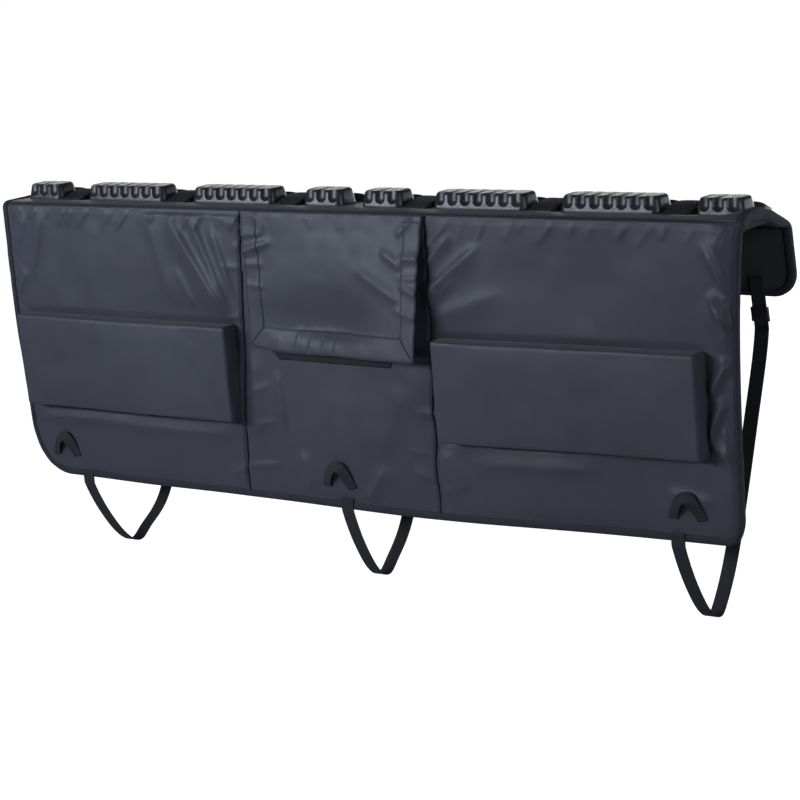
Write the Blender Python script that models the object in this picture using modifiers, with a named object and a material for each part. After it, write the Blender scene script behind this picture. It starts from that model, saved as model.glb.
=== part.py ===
"""Tailgate bike pad: a padded cover that hangs over the top of a pickup truck's tailgate.

The front panel hangs at -Y (outside the truck), the short back flap hangs at +Y (inside the bed)
and +Z is up.  The world origin is the middle of the flat underside that sits on the tailgate.
All sizes are in metres.
"""
import math

import bmesh
import bpy
from mathutils import Matrix, Vector

# Overall cover
PAD_LENGTH = 1.600
FRONT_DROP = 0.529
CREST_Y = 0.100
REAR_Y = 0.159
REAR_FALL = 0.0295
FLAP_DROP = 0.121
FLAP_LEAN = math.radians(6.2)
FRONT_CORNER_LEFT = 0.105
FRONT_CORNER_RIGHT = 0.052
BACK_CORNER = 0.042

# How the front hangs: its sides lean in towards the hem, which is lowest at the right-hand seam
LEAN_LEFT = 0.010
LEAN_RIGHT = 0.022
HEM_RISE_LEFT = 0.008
HEM_RISE_RIGHT = 0.004
HEM_SAG = 0.008

# Layers
CLEARANCE = 0.0003
FABRIC = 0.0020
LINING = 0.0015
FRONT_PADDING = 0.0060
TOP_FOAM = 0.0140
BACK_PADDING = 0.0040

# Front panel seams, tape and piping
SEAM_LEFT = -0.226
SEAM_RIGHT = 0.186
SEAM_GAP = 0.0010
TAPE = 0.0015
TAPE_WIDTH = 0.0130
PIPING_RADIUS = 0.0022

# Tailgate handle window and the flap in front of it
WINDOW_WIDTH = 0.220
WINDOW_HEIGHT = 0.130
WINDOW_TOP = 0.075
WINDOW_CORNER = 0.020
COVER_FLAP_LEFT = -0.205
COVER_FLAP_RIGHT = 0.190
COVER_FLAP_DROP = 0.250
COVER_FLAP_TILT_LEFT = math.radians(1.6)
COVER_FLAP_TILT_RIGHT = math.radians(11.0)
HEM_WIDTH = 0.036
BOTTOM_HEM_WIDTH = 0.042
HEM_START = 0.018
HEM = 0.0015
CLOSURE_LENGTH = 0.264
CLOSURE_WIDTH = 0.036
CLOSURE_SHOWS = 0.018
CLOSURE_FROM_MIDDLE = 0.0215
CLOSURE = 0.0020

# Impact pads on the front panel
IMPACT_FROM_LEFT = 0.040
IMPACT_FROM_RIGHT = 0.078
IMPACT_FROM_SEAM = 0.021
IMPACT_HEIGHT = 0.174
IMPACT_DEPTH = 0.036
IMPACT_TOP = 0.210
IMPACT_EDGE = 0.008

# Soft folds of the front cloth, at their fullest
FOLD_WIDTH = 0.024
FOLD_HEIGHT = 0.005
FOLD_BELOW_PAD = 0.022
FOLD_FROM_PAD_SIDE = 0.040

# Short puckers just below the top seam, where the cloth is gathered into it
PUCKER_PITCH = 0.038
PUCKER_LENGTH = 0.034
PUCKER_LEAN = 0.012
PUCKER_BELOW_TOP = 0.014
PUCKER_WIDTH = 0.009
PUCKER_HEIGHT = 0.0022

# Rubber bumper blocks
FLUTE_PITCH = 0.02614
FLUTE_END = 0.0177
SMALL_FLUTES = 3
LARGE_FLUTES = 7
HALF_ROW = (SMALL_FLUTES, LARGE_FLUTES, LARGE_FLUTES, SMALL_FLUTES)
CENTRE_GAP = 0.0416
END_MARGIN = 0.0228
BLOCK_HEIGHT = 0.027
REAR_BLOCK_HEIGHT = 0.0185
BLOCK_DEPTH = 0.054
BLOCK_SLOPE = 0.0045
BLOCK_CORNER = 0.0140
BLOCK_ROUND = 0.0050
FRONT_ROW_SETBACK = 0.001
REAR_ROW_SETBACK = 0.004
FLUTE_RADIUS = 0.0100
FLUTE_DEPTH = 0.0062
FLUTE_FLOOR = 0.0030
WAVE_RADIUS = 0.0128
WAVE_DEPTH = 0.0036

# Straps that hold bike frames between the blocks
FRAME_STRAP_SIDE_GAP = 0.0078
FRAME_STRAP_FRONT = 0.036
FRAME_STRAP_REAR = 0.046
FRAME_STRAP_THIN = 0.0030
FRAME_STRAP_RISE = 0.0110

# Lower straps that go round under the tailgate
WEBBING_WIDTH = 0.027
WEBBING = 0.0020
FRONT_TAB = 0.018
REAR_TAB = 0.034
KEEPER_WIDTH = 0.034
KEEPER_HEIGHT = 0.024
KEEPER_WALL = 0.0024
KEEPER_DROP = 0.030
STRAP_FROM_LEFT = 0.152
STRAP_FROM_RIGHT = 0.148
STRAP_CENTRE_X = -0.026
STRAP_LEFT_HANG = 0.131
STRAP_CENTRE_HANG = 0.139
STRAP_RIGHT_HANG = 0.141
STRAP_LEFT_LOW = 0.031
STRAP_LEFT_MID = 0.088
STRAP_LEFT_REAR = 0.143
STRAP_CENTRE_LOW = 0.006
STRAP_CENTRE_MID = 0.044
STRAP_CENTRE_REAR = 0.086
STRAP_RIGHT_LOW = 0.012
STRAP_RIGHT_MID = 0.032
STRAP_RIGHT_REAR = 0.078
STRAP_TURN = 0.020
STRAP_HEM_RUN = 0.004

# Folded webbing loops near the lower corners
LOOP_SPAN = 0.082
LOOP_RISE = 0.052
LOOP_BAND = 0.016
LOOP_THICKNESS = 0.0034
LOOP_ABOVE_HEM = 0.040
LOOP_FROM_LEFT = 0.103
LOOP_FROM_RIGHT = 0.125
LOOP_CENTRE_X = -0.037

# Derived sizes
HALF_LENGTH = PAD_LENGTH / 2
SEAT_DEPTH = FABRIC + TOP_FOAM + LINING + 2 * CLEARANCE
FRONT_STACK = FABRIC + FRONT_PADDING + LINING + 2 * CLEARANCE
BACK_STACK = FABRIC + BACK_PADDING + LINING + 2 * CLEARANCE
SLOPE = math.atan2(REAR_FALL, REAR_Y - CREST_Y)
PANEL_INSET = TAPE + CLEARANCE
FACE_UP = (math.pi / 2, 0, 0)
PROFILE_ALONG_X = (math.pi / 2, 0, math.pi / 2)
OUTER_PROFILE = [
    (0.0, 0.0),
    (CREST_Y, 0.0),
    (REAR_Y, -REAR_FALL),
    (REAR_Y + FLAP_DROP * math.sin(FLAP_LEAN), -REAR_FALL - FLAP_DROP * math.cos(FLAP_LEAN)),
]
WEBBING_STAND_OFF = TAPE + 2 * CLEARANCE
BOUND_STACK = FRONT_STACK + CLEARANCE + TAPE
SEAT_FRONT_Y = BOUND_STACK + CLEARANCE
SEAT_MIDDLE_Y = (SEAT_FRONT_Y + CREST_Y) / 2

# Folds that run out from a seam or in from an edge.  Each has its two ends, as distances from that
# line and from the top in shares of IMPACT_TOP, and its width and height in shares of a full fold.
# Puckers fill the top between the folds: how far they keep from the edge and from the seam, in the
# same shares
LEFT_SEAM_FOLDS = (
    ((0.85, 0.08), (0.17, 0.90), 1.0, 1.0),
    ((0.54, 0.07), (0.10, 0.76), 0.8, 0.9),
    ((1.18, 0.14), (0.60, 0.88), 1.0, 0.5),
)
LEFT_EDGE_FOLDS = (
    ((0.27, 0.08), (0.34, 0.88), 0.8, 0.8),
    ((0.52, 0.10), (0.47, 0.80), 0.6, 0.6),
)
LEFT_PUCKERS = (0.64, 1.32)
RIGHT_SEAM_FOLDS = (
    ((0.03, 0.71), (0.39, 0.28), 0.9, 1.0),
    ((0.03, 0.47), (0.26, 0.14), 0.7, 0.8),
    ((0.06, 0.88), (0.61, 0.43), 0.9, 0.8),
    ((1.11, 0.88), (1.64, 0.48), 1.0, 0.4),
)
RIGHT_EDGE_FOLDS = (
    ((0.16, 0.90), (0.50, 0.38), 0.8, 0.9),
    ((0.19, 0.57), (0.48, 0.19), 0.7, 0.7),
    ((0.16, 1.25), (0.29, 1.05), 0.5, 0.7),
    ((0.18, 1.58), (0.29, 1.80), 0.5, 0.9),
)

RIGHT_PUCKERS = (0.60, 0.42)

# Each lower strap: where it leaves the hem, how far to the right its lowest point, its rear strand
# and its top lie from there, and how far it hangs below the hem
LOWER_STRAPS = {
    "left": (-HALF_LENGTH + STRAP_FROM_LEFT, STRAP_LEFT_LOW, STRAP_LEFT_MID, STRAP_LEFT_REAR,
             STRAP_LEFT_HANG),
    "centre": (STRAP_CENTRE_X, STRAP_CENTRE_LOW, STRAP_CENTRE_MID, STRAP_CENTRE_REAR,
               STRAP_CENTRE_HANG),
    "right": (HALF_LENGTH - STRAP_FROM_RIGHT, STRAP_RIGHT_LOW, STRAP_RIGHT_MID, STRAP_RIGHT_REAR,
              STRAP_RIGHT_HANG),
}
IMPACT_PADS = {
    "left": (-HALF_LENGTH + IMPACT_FROM_LEFT, SEAM_LEFT - IMPACT_FROM_SEAM),
    "right": (SEAM_RIGHT + IMPACT_FROM_SEAM, HALF_LENGTH - IMPACT_FROM_RIGHT),
}
CORNER_LOOPS = {
    "left": -HALF_LENGTH + LOOP_FROM_LEFT,
    "centre": LOOP_CENTRE_X,
    "right": HALF_LENGTH - LOOP_FROM_RIGHT,
}

# Colours: base colour, roughness
TARPAULIN = ((0.052, 0.055, 0.072, 1), 0.48)
WEBBING_BLACK = ((0.010, 0.011, 0.016, 1), 0.80)
TRIM_BLACK = ((0.014, 0.015, 0.020, 1), 0.70)
LINING_BLACK = ((0.007, 0.008, 0.010, 1), 0.90)
RUBBER = ((0.018, 0.019, 0.026, 1), 0.32)
FOAM_GREY = ((0.120, 0.120, 0.125, 1), 0.95)


def clear_scene():
    for item in list(bpy.data.objects):
        bpy.data.objects.remove(item, do_unlink=True)


def new_collection(name):
    collection = bpy.data.collections.new(name)
    bpy.context.scene.collection.children.link(collection)
    return collection


def new_material(name, finish):
    material = bpy.data.materials.new(name)
    material.use_nodes = True
    shader = material.node_tree.nodes["Principled BSDF"]
    shader.inputs["Base Color"].default_value = finish[0]
    shader.inputs["Roughness"].default_value = finish[1]
    shader.inputs["Metallic"].default_value = 0.0
    return material


def new_empty(name, location, rotation=(0, 0, 0), parent=None):
    empty = bpy.data.objects.new(name, None)
    empty.location = location
    empty.rotation_euler = rotation
    empty.parent = parent
    PARTS.objects.link(empty)
    return empty


def add_part(name, data, finish, parent, location=(0, 0, 0), rotation=(0, 0, 0)):
    item = bpy.data.objects.new(name, data)
    item.location = location
    item.rotation_euler = rotation
    item.parent = parent
    PARTS.objects.link(item)
    item.data.materials.clear()
    item.data.materials.append(new_material(name + "_finish", finish))
    return item


def flat_curve(name, outlines, thickness, rounding=0.0):
    """A flat plate, centred on its own plane; outlines after the first are holes in it."""
    curve = bpy.data.curves.new(name, "CURVE")
    curve.dimensions = "2D"
    curve.fill_mode = "BOTH"
    curve.extrude = thickness / 2 - rounding
    curve.bevel_depth = rounding
    curve.bevel_resolution = 1
    for points in outlines:
        spline = curve.splines.new("POLY")
        spline.points.add(len(points) - 1)
        for point, (x, y) in zip(spline.points, points):
            point.co = (x, y, 0, 1)
        spline.use_cyclic_u = True
    return curve


def curve_to_mesh(name, curve):
    """The closed mesh of a curve, with its caps welded on."""
    holder = bpy.data.objects.new(name + "_curve", curve)
    bpy.context.scene.collection.objects.link(holder)
    evaluated = holder.evaluated_get(bpy.context.evaluated_depsgraph_get())
    mesh = bpy.data.meshes.new_from_object(evaluated)
    bpy.data.objects.remove(holder, do_unlink=True)
    shape = bmesh.new()
    shape.from_mesh(mesh)
    bmesh.ops.remove_doubles(shape, verts=shape.verts, dist=0.00001)
    shape.to_mesh(mesh)
    shape.free()
    return mesh


def arc(centre, radius, start, end, steps):
    """Points on an arc, with its angles in degrees."""
    points = []
    for step in range(steps + 1):
        angle = math.radians(start + (end - start) * step / steps)
        points.append((centre[0] + radius * math.cos(angle), centre[1] + radius * math.sin(angle)))
    return points


def hanging_outline(left, right, top, bottom, radius_left, radius_right, steps=6):
    """A panel with a straight top edge and rounded lower corners."""
    points = [(right, top), (left, top)]
    if radius_left > 0:
        points += arc((left + radius_left, bottom + radius_left), radius_left, 180, 270, steps)
    else:
        points.append((left, bottom))
    if radius_right > 0:
        points += arc((right - radius_right, bottom + radius_right), radius_right, 270, 360, steps)
    else:
        points.append((right, bottom))
    return points


def rounded_rectangle(left, right, bottom, top, radius, steps=3):
    points = arc((left + radius, bottom + radius), radius, 180, 270, steps)
    points += arc((right - radius, bottom + radius), radius, 270, 360, steps)
    points += arc((right - radius, top - radius), radius, 0, 90, steps)
    points += arc((left + radius, top - radius), radius, 90, 180, steps)
    return points


def offset_line(points, distance):
    """The line that runs parallel to an open line, on its right-hand side, with mitred corners."""
    moved = []
    for index, point in enumerate(points):
        here = Vector(point)
        before = here - Vector(points[index - 1]) if index > 0 else None
        after = Vector(points[index + 1]) - here if index < len(points) - 1 else None
        first = (before if before is not None else after).normalized()
        second = (after if after is not None else before).normalized()
        normal_a = Vector((first.y, -first.x))
        normal_b = Vector((second.y, -second.x))
        middle = (normal_a + normal_b).normalized()
        moved.append(tuple(here + middle * (distance / middle.dot(normal_a))))
    return moved


def strip_between(points, outer, inner):
    """A closed section between two lines parallel to the same line."""
    return offset_line(points, outer) + list(reversed(offset_line(points, inner)))


def seam_start(depth):
    """How far below the rear edge a hanging layer starts, to clear the top's mitred end."""
    turn = math.pi / 2 - FLAP_LEAN - SLOPE
    return -(depth * math.tan(turn / 2) + CLEARANCE)


def profile_part(name, section, finish, length, x=0.0):
    """A section in the Y-Z plane, drawn out along X."""
    curve = flat_curve(name, [section], length)
    return add_part(name, curve, finish, FRAME, (x, 0, 0), PROFILE_ALONG_X)


def top_layers():
    length = PAD_LENGTH - 2 * PANEL_INSET
    cover_top = OUTER_PROFILE[:3]
    cover_under = offset_line(OUTER_PROFILE, FABRIC)[:3]
    profile_part("top_panel", cover_top + list(reversed(cover_under)), TARPAULIN, length)

    foam_front = FABRIC + CLEARANCE
    foam_top = offset_line(OUTER_PROFILE, foam_front)[:3]
    foam_top[0] = (foam_front, foam_top[0][1])
    knee = offset_line(cover_top, foam_front + TOP_FOAM)[1]
    tail = offset_line(OUTER_PROFILE, foam_front + BACK_PADDING)[2]
    foam_under = [(foam_front, knee[1]), knee, tail]
    profile_part("top_foam", foam_top + list(reversed(foam_under)), FOAM_GREY, length)

    last_run = (Vector(tail) - Vector(knee)).normalized()
    lining_tail = tuple(Vector(tail) - last_run * LINING)
    lining_line = [(SEAT_FRONT_Y, knee[1]), knee, lining_tail]
    lining = strip_between(lining_line, CLEARANCE, CLEARANCE + LINING)
    profile_part("top_lining", lining, LINING_BLACK, length)

    end_under = offset_line([(0, knee[1]), knee, lining_tail], CLEARANCE + LINING)
    for side, sign in (("left", -1), ("right", 1)):
        x = sign * (HALF_LENGTH - TAPE / 2)
        profile_part("top_end_" + side, cover_top + list(reversed(end_under)), TARPAULIN, TAPE, x)


def front_plate(name, outlines, near, far, finish, rounding=0.0):
    """A plate parallel to the front panel, from y = near to y = far."""
    curve = flat_curve(name, outlines, far - near, rounding)
    return add_part(name, curve, finish, FRAME, (0, (near + far) / 2, 0), FACE_UP)


def hem_height(x):
    """The height of the front hem at one place, straight between its corners and its seams."""
    places = (-HALF_LENGTH + FRONT_CORNER_LEFT, SEAM_LEFT, SEAM_RIGHT, HALF_LENGTH - FRONT_CORNER_RIGHT)
    rises = (HEM_RISE_LEFT, 0, -HEM_SAG, HEM_RISE_RIGHT)
    x = min(max(x, places[0]), places[-1])
    for start, end, low, high in zip(places, places[1:], rises, rises[1:]):
        if x <= end:
            return -FRONT_DROP + low + (high - low) * (x - start) / (end - start)


def left_edge(z):
    return -HALF_LENGTH - LEAN_LEFT * z / FRONT_DROP


def right_edge(z):
    return HALF_LENGTH + LEAN_RIGHT * z / FRONT_DROP


def front_outline(inset, top, left_seam=None, right_seam=None):
    """The hanging front, or its part between two seams; where one is None it ends at the cover's edge."""
    hem = [(x, hem_height(x) + inset) for x in (SEAM_LEFT, SEAM_RIGHT)]
    if left_seam is None:
        radius = FRONT_CORNER_LEFT - inset
        low = hem_height(-HALF_LENGTH) + inset + radius
        start = [(left_edge(top) + inset, top)]
        start += arc((left_edge(low) + inset + radius, low), radius, 180, 270, 6)
    else:
        start = [(left_seam, top), (left_seam, hem_height(left_seam) + inset)]
    if right_seam is None:
        radius = FRONT_CORNER_RIGHT - inset
        low = hem_height(HALF_LENGTH) + inset + radius
        end = arc((right_edge(low) - inset - radius, low), radius, 270, 360, 6)
        end += [(right_edge(top) - inset, top)]
    else:
        end = [(right_seam, hem_height(right_seam) + inset), (right_seam, top)]
    between = [place for place in hem if start[-1][0] + SEAM_GAP < place[0] < end[0][0] - SEAM_GAP]
    return start + between + end


def fold_ridge(shape, start, end, width, height):
    """A closed, pointed ridge along a line on the front panel, sunk into the cloth by half of it."""
    start, end = Vector(start), Vector(end)
    along = (end - start).normalized()
    across = Vector((-along.y, along.x))
    sunk = FABRIC / 2
    arch = ((-1.0, 0.0), (-0.55, 0.65), (0.0, 1.0), (0.55, 0.65), (1.0, 0.0))
    tips = [shape.verts.new((tip.x, sunk, tip.y)) for tip in (start, end)]
    rings = []
    for share, size in ((0.22, 0.75), (0.50, 1.0), (0.78, 0.65)):
        middle = start.lerp(end, share)
        ring = []
        for side, level in arch:
            place = middle + across * (side * size * width / 2)
            ring.append(shape.verts.new((place.x, sunk - level * size * (height + sunk), place.y)))
        rings.append(ring)
    for near, far in zip(rings, rings[1:]):
        for index in range(len(arch)):
            after = (index + 1) % len(arch)
            shape.faces.new((near[index], near[after], far[after], far[index]))
    for tip, ring in ((tips[0], rings[0]), (tips[1], rings[-1])):
        for index in range(len(arch)):
            shape.faces.new((tip, ring[index], ring[(index + 1) % len(arch)]))


def add_folds(panel, folds):
    """Raises folds on a front panel; each fold is (start, end, width, height)."""
    ridges = bmesh.new()
    for start, end, width, height in folds:
        fold_ridge(ridges, start, end, width, height)
    bmesh.ops.recalc_face_normals(ridges, faces=ridges.faces)
    mesh = bpy.data.meshes.new(panel.name + "_folds")
    ridges.to_mesh(mesh)
    ridges.free()
    added = bpy.data.objects.new(mesh.name, mesh)
    added.parent = FRAME
    added.hide_render = True
    added.display_type = "WIRE"
    CUTTERS.objects.link(added)
    join = panel.modifiers.new("folds", "BOOLEAN")
    join.operation = "UNION"
    join.solver = "EXACT"
    join.object = added


def folds_from(line, side, folds):
    """Folds measured from an upright seam or edge; side is 1 to its right and -1 to its left."""
    placed = []
    for start, end, width, height in folds:
        ends = [(line + side * x * IMPACT_TOP, -z * IMPACT_TOP) for x, z in (start, end)]
        placed.append((*ends, width * FOLD_WIDTH, height * FOLD_HEIGHT))
    return placed


def fold_below_pad(start, end):
    """The roll of cloth that hangs under an impact pad."""
    z = -IMPACT_TOP - IMPACT_HEIGHT - FOLD_BELOW_PAD
    return (start, z), (end, z), FOLD_WIDTH, FOLD_HEIGHT


def top_puckers(left, right):
    """A row of short slanted ridges between two places below the top seam."""
    count = max(1, round((right - left) / PUCKER_PITCH))
    places = [left + (right - left) * (index + 0.5) / count for index in range(count)]
    foot = -PUCKER_BELOW_TOP - PUCKER_LENGTH
    return [((x, -PUCKER_BELOW_TOP), (x - PUCKER_LEAN, foot), PUCKER_WIDTH, PUCKER_HEIGHT) for x in places]


def front_panel(name, outlines):
    mesh = curve_to_mesh(name, flat_curve(name, outlines, FABRIC))
    return add_part(name, mesh, TARPAULIN, FRAME, (0, FABRIC / 2, 0), FACE_UP)


def window_outline(grow):
    middle = (COVER_FLAP_LEFT + COVER_FLAP_RIGHT) / 2
    half = WINDOW_WIDTH / 2 + grow
    bottom = -WINDOW_TOP - WINDOW_HEIGHT - grow
    return rounded_rectangle(middle - half, middle + half, bottom, -WINDOW_TOP + grow, WINDOW_CORNER + grow)


def front_layers():
    top = -FABRIC - CLEARANCE
    half_seam = SEAM_GAP / 2
    left = front_panel("front_panel_left", [
        front_outline(PANEL_INSET, top, right_seam=SEAM_LEFT - half_seam)])
    front_panel("front_panel_centre", [
        front_outline(PANEL_INSET, top, SEAM_LEFT + half_seam, SEAM_RIGHT - half_seam), window_outline(0)])
    right = front_panel("front_panel_right", [
        front_outline(PANEL_INSET, top, left_seam=SEAM_RIGHT + half_seam)])
    left_pad, right_pad = IMPACT_PADS["left"], IMPACT_PADS["right"]
    left_folds = folds_from(SEAM_LEFT, -1, LEFT_SEAM_FOLDS)
    left_folds += folds_from(-HALF_LENGTH, 1, LEFT_EDGE_FOLDS)
    left_folds.append(fold_below_pad(sum(left_pad) / 2 - FOLD_FROM_PAD_SIDE, left_pad[1]))
    left_folds += top_puckers(-HALF_LENGTH + LEFT_PUCKERS[0] * IMPACT_TOP,
                              SEAM_LEFT - LEFT_PUCKERS[1] * IMPACT_TOP)
    add_folds(left, left_folds)
    right_folds = folds_from(SEAM_RIGHT, 1, RIGHT_SEAM_FOLDS)
    right_folds += folds_from(HALF_LENGTH, -1, RIGHT_EDGE_FOLDS)
    right_folds.append(fold_below_pad(right_pad[0] + FOLD_FROM_PAD_SIDE, sum(right_pad) / 2))
    right_folds += top_puckers(SEAM_RIGHT + RIGHT_PUCKERS[1] * IMPACT_TOP,
                               HALF_LENGTH - RIGHT_PUCKERS[0] * IMPACT_TOP)
    add_folds(right, right_folds)

    under_foam = -(FABRIC + TOP_FOAM + 2 * CLEARANCE)
    inner = front_outline(PANEL_INSET, under_foam)
    padding_near = FABRIC + CLEARANCE
    padding_far = padding_near + FRONT_PADDING
    front_plate("front_padding", [inner, window_outline(0)], padding_near, padding_far, FOAM_GREY)
    lining_near = padding_far + CLEARANCE
    front_plate("front_lining", [inner, window_outline(0)], lining_near, FRONT_STACK, LINING_BLACK)

    rim = [window_outline(TAPE_WIDTH * 0.6), window_outline(0)]
    front_plate("window_binding", rim, -CLEARANCE - TAPE, -CLEARANCE, TRIM_BLACK)


def folded_tape(name, outer_outline, edge_outline, inner_outline, near, far, parent):
    """Folded tape round a panel's edge: a plate with the panel's edge cut out of its inner side."""
    body = curve_to_mesh(name, flat_curve(name, [outer_outline], far - near))
    tape = add_part(name, body, TRIM_BLACK, parent, (0, (near + far) / 2, 0), FACE_UP)
    slot_depth = far - near - 2 * TAPE
    cuts = (("slot", edge_outline, slot_depth), ("inside", inner_outline, 2 * (far - near)))
    for label, outline, depth in cuts:
        mesh = curve_to_mesh(name + "_" + label, flat_curve(label, [outline], depth))
        cutter = bpy.data.objects.new(name + "_" + label, mesh)
        cutter.location = tape.location
        cutter.rotation_euler = tape.rotation_euler
        cutter.parent = parent
        cutter.hide_render = True
        cutter.display_type = "WIRE"
        CUTTERS.objects.link(cutter)
        cut = tape.modifiers.new(label, "BOOLEAN")
        cut.operation = "DIFFERENCE"
        cut.solver = "EXACT"
        cut.object = cutter


def front_binding():
    above = 0.05
    folded_tape("front_binding", front_outline(0, -SEAT_DEPTH - CLEARANCE),
                front_outline(PANEL_INSET - CLEARANCE, above), front_outline(TAPE_WIDTH, above),
                -CLEARANCE - TAPE, BOUND_STACK, FRAME)


def piping():
    bpy.ops.mesh.primitive_cylinder_add(
        vertices=8, radius=PIPING_RADIUS, depth=PAD_LENGTH - 2 * PANEL_INSET, rotation=(0, math.pi / 2, 0))
    rod = bpy.context.active_object
    bpy.ops.object.transform_apply(location=False, rotation=True, scale=True)
    mesh = rod.data
    bpy.data.objects.remove(rod, do_unlink=True)
    mesh.shade_smooth()
    mesh.set_sharp_from_angle(angle=math.radians(50))
    place = (0, -PIPING_RADIUS - CLEARANCE, -PIPING_RADIUS)
    add_part("top_piping", mesh, TRIM_BLACK, FRAME, place)


def back_plate(name, outline, near, far, finish):
    """A plate parallel to the back flap, from depth near to depth far inside its outer face."""
    curve = flat_curve(name, [outline], far - near)
    return add_part(name, curve, finish, BACK_HINGE, (0, -(near + far) / 2, 0), FACE_UP)


def back_outline(inset, top):
    radius = BACK_CORNER - inset
    return hanging_outline(
        -HALF_LENGTH + inset, HALF_LENGTH - inset, top, -FLAP_DROP + inset, radius, radius, 4)


def back_layers():
    padding_near = FABRIC + CLEARANCE
    padding_far = padding_near + BACK_PADDING
    lining_near = padding_far + CLEARANCE
    back_plate("back_flap", back_outline(PANEL_INSET, seam_start(FABRIC)), 0, FABRIC, TARPAULIN)
    back_plate("back_padding", back_outline(PANEL_INSET, seam_start(padding_far)),
               padding_near, padding_far, FOAM_GREY)
    back_plate("back_lining", back_outline(PANEL_INSET, seam_start(BACK_STACK)),
               lining_near, BACK_STACK, LINING_BLACK)
    stack = BACK_STACK + CLEARANCE + TAPE
    above = 0.05
    folded_tape("back_binding", back_outline(0, seam_start(stack) - CLEARANCE),
                back_outline(PANEL_INSET - CLEARANCE, above), back_outline(TAPE_WIDTH, above),
                -stack, CLEARANCE + TAPE, BACK_HINGE)


def flap_place(x, down, out):
    """A point of the window flap, from its flat cut; it swings out more towards its right-hand side."""
    across = (x - COVER_FLAP_LEFT) / (COVER_FLAP_RIGHT - COVER_FLAP_LEFT)
    tilt = COVER_FLAP_TILT_LEFT + (COVER_FLAP_TILT_RIGHT - COVER_FLAP_TILT_LEFT) * across ** 2
    hinge_y = -2 * PIPING_RADIUS - 2 * CLEARANCE
    return Vector((
        x,
        hinge_y - down * math.sin(tilt) - out * math.cos(tilt),
        -PIPING_RADIUS - down * math.cos(tilt) + out * math.sin(tilt)))


def flap_layer(name, triangles, near, thickness):
    """A closed plate over part of the flap, from triangles of (x, down) in its flat cut."""
    shape = bmesh.new()
    verts = {}
    for triangle in triangles:
        for corner in triangle:
            if corner not in verts:
                verts[corner] = [shape.verts.new(flap_place(*corner, near + rise))
                                 for rise in (0, thickness)]
    sides = set()
    for triangle in triangles:
        under, over = zip(*(verts[corner] for corner in triangle))
        shape.faces.new(under)
        shape.faces.new(reversed(over))
        for pair in zip(triangle, triangle[1:] + triangle[:1]):
            if pair[::-1] in sides:
                sides.remove(pair[::-1])
            else:
                sides.add(pair)
    for first, second in sorted(sides):
        (under_a, over_a), (under_b, over_b) = verts[first], verts[second]
        shape.faces.new((under_b, under_a, over_a, over_b))
    bmesh.ops.recalc_face_normals(shape, faces=shape.faces)
    mesh = bpy.data.meshes.new(name)
    shape.to_mesh(mesh)
    shape.free()
    return add_part(name, mesh, TARPAULIN, FRAME)


def flap_cell(columns, rows, column, row):
    """One cell of the flap's grid as its outer and inner triangle, cut along the mitre's direction."""
    left, right = columns[column], columns[column + 1]
    top, bottom = rows[row], rows[row + 1]
    if column < (len(columns) - 1) / 2:
        return ((left, top), (left, bottom), (right, top)), ((left, bottom), (right, bottom), (right, top))
    return ((left, top), (right, bottom), (right, top)), ((left, top), (left, bottom), (right, bottom))


def cover_flap():
    """The hanging flap in front of the handle window, with a wide mitred hem on its front."""
    left, right = COVER_FLAP_LEFT, COVER_FLAP_RIGHT
    inner = [left + HEM_WIDTH + (right - left - 2 * HEM_WIDTH) * step / 5 for step in range(6)]
    columns = [left] + inner + [right]
    inner_bottom = COVER_FLAP_DROP - BOTTOM_HEM_WIDTH
    rows = [0, HEM_START, (HEM_START + inner_bottom) / 2, inner_bottom, COVER_FLAP_DROP]
    last_column, last_row = len(columns) - 2, len(rows) - 2

    def cells(column_range, row_range):
        return [flap_cell(columns, rows, column, row) for row in row_range for column in column_range]

    def shifted(triangles, places, step):
        moved = {place: (place[0] + step[0], place[1] + step[1]) for place in places}
        return [tuple(moved.get(corner, corner) for corner in triangle) for triangle in triangles]

    whole = cells(range(last_column + 1), range(last_row + 1))
    flap_layer("access_flap", [triangle for cell in whole for triangle in cell], 0, FABRIC)

    near = FABRIC + CLEARANCE
    mitre_left = ((left, COVER_FLAP_DROP), (inner[0], inner_bottom))
    mitre_right = ((right, COVER_FLAP_DROP), (inner[-1], inner_bottom))
    for side, column, mitre in (("left", 0, mitre_left), ("right", last_column, mitre_right)):
        strip = [triangle for cell in cells([column], range(1, last_row)) for triangle in cell]
        strip.append(flap_cell(columns, rows, column, last_row)[0])
        flap_layer("flap_hem_" + side, shifted(strip, mitre, (0, -CLEARANCE)), near, HEM)
    strip = [triangle for cell in cells(range(1, last_column), [last_row]) for triangle in cell]
    strip += [flap_cell(columns, rows, column, last_row)[1] for column in (0, last_column)]
    strip = shifted(strip, mitre_left, (CLEARANCE, 0))
    flap_layer("flap_hem_bottom", shifted(strip, mitre_right, (-CLEARANCE, 0)), near, HEM)


def closure_strip():
    """The fastening strip on the centre panel, whose lower edge shows under the flap."""
    middle = (COVER_FLAP_LEFT + COVER_FLAP_RIGHT) / 2 - CLOSURE_FROM_MIDDLE
    low = -COVER_FLAP_DROP - CLOSURE_SHOWS
    outline = rounded_rectangle(middle - CLOSURE_LENGTH / 2, middle + CLOSURE_LENGTH / 2,
                                low, low + CLOSURE_WIDTH, 0.004)
    front_plate("flap_closure_strip", [outline], -CLEARANCE - CLOSURE, -CLEARANCE, WEBBING_BLACK)


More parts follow.
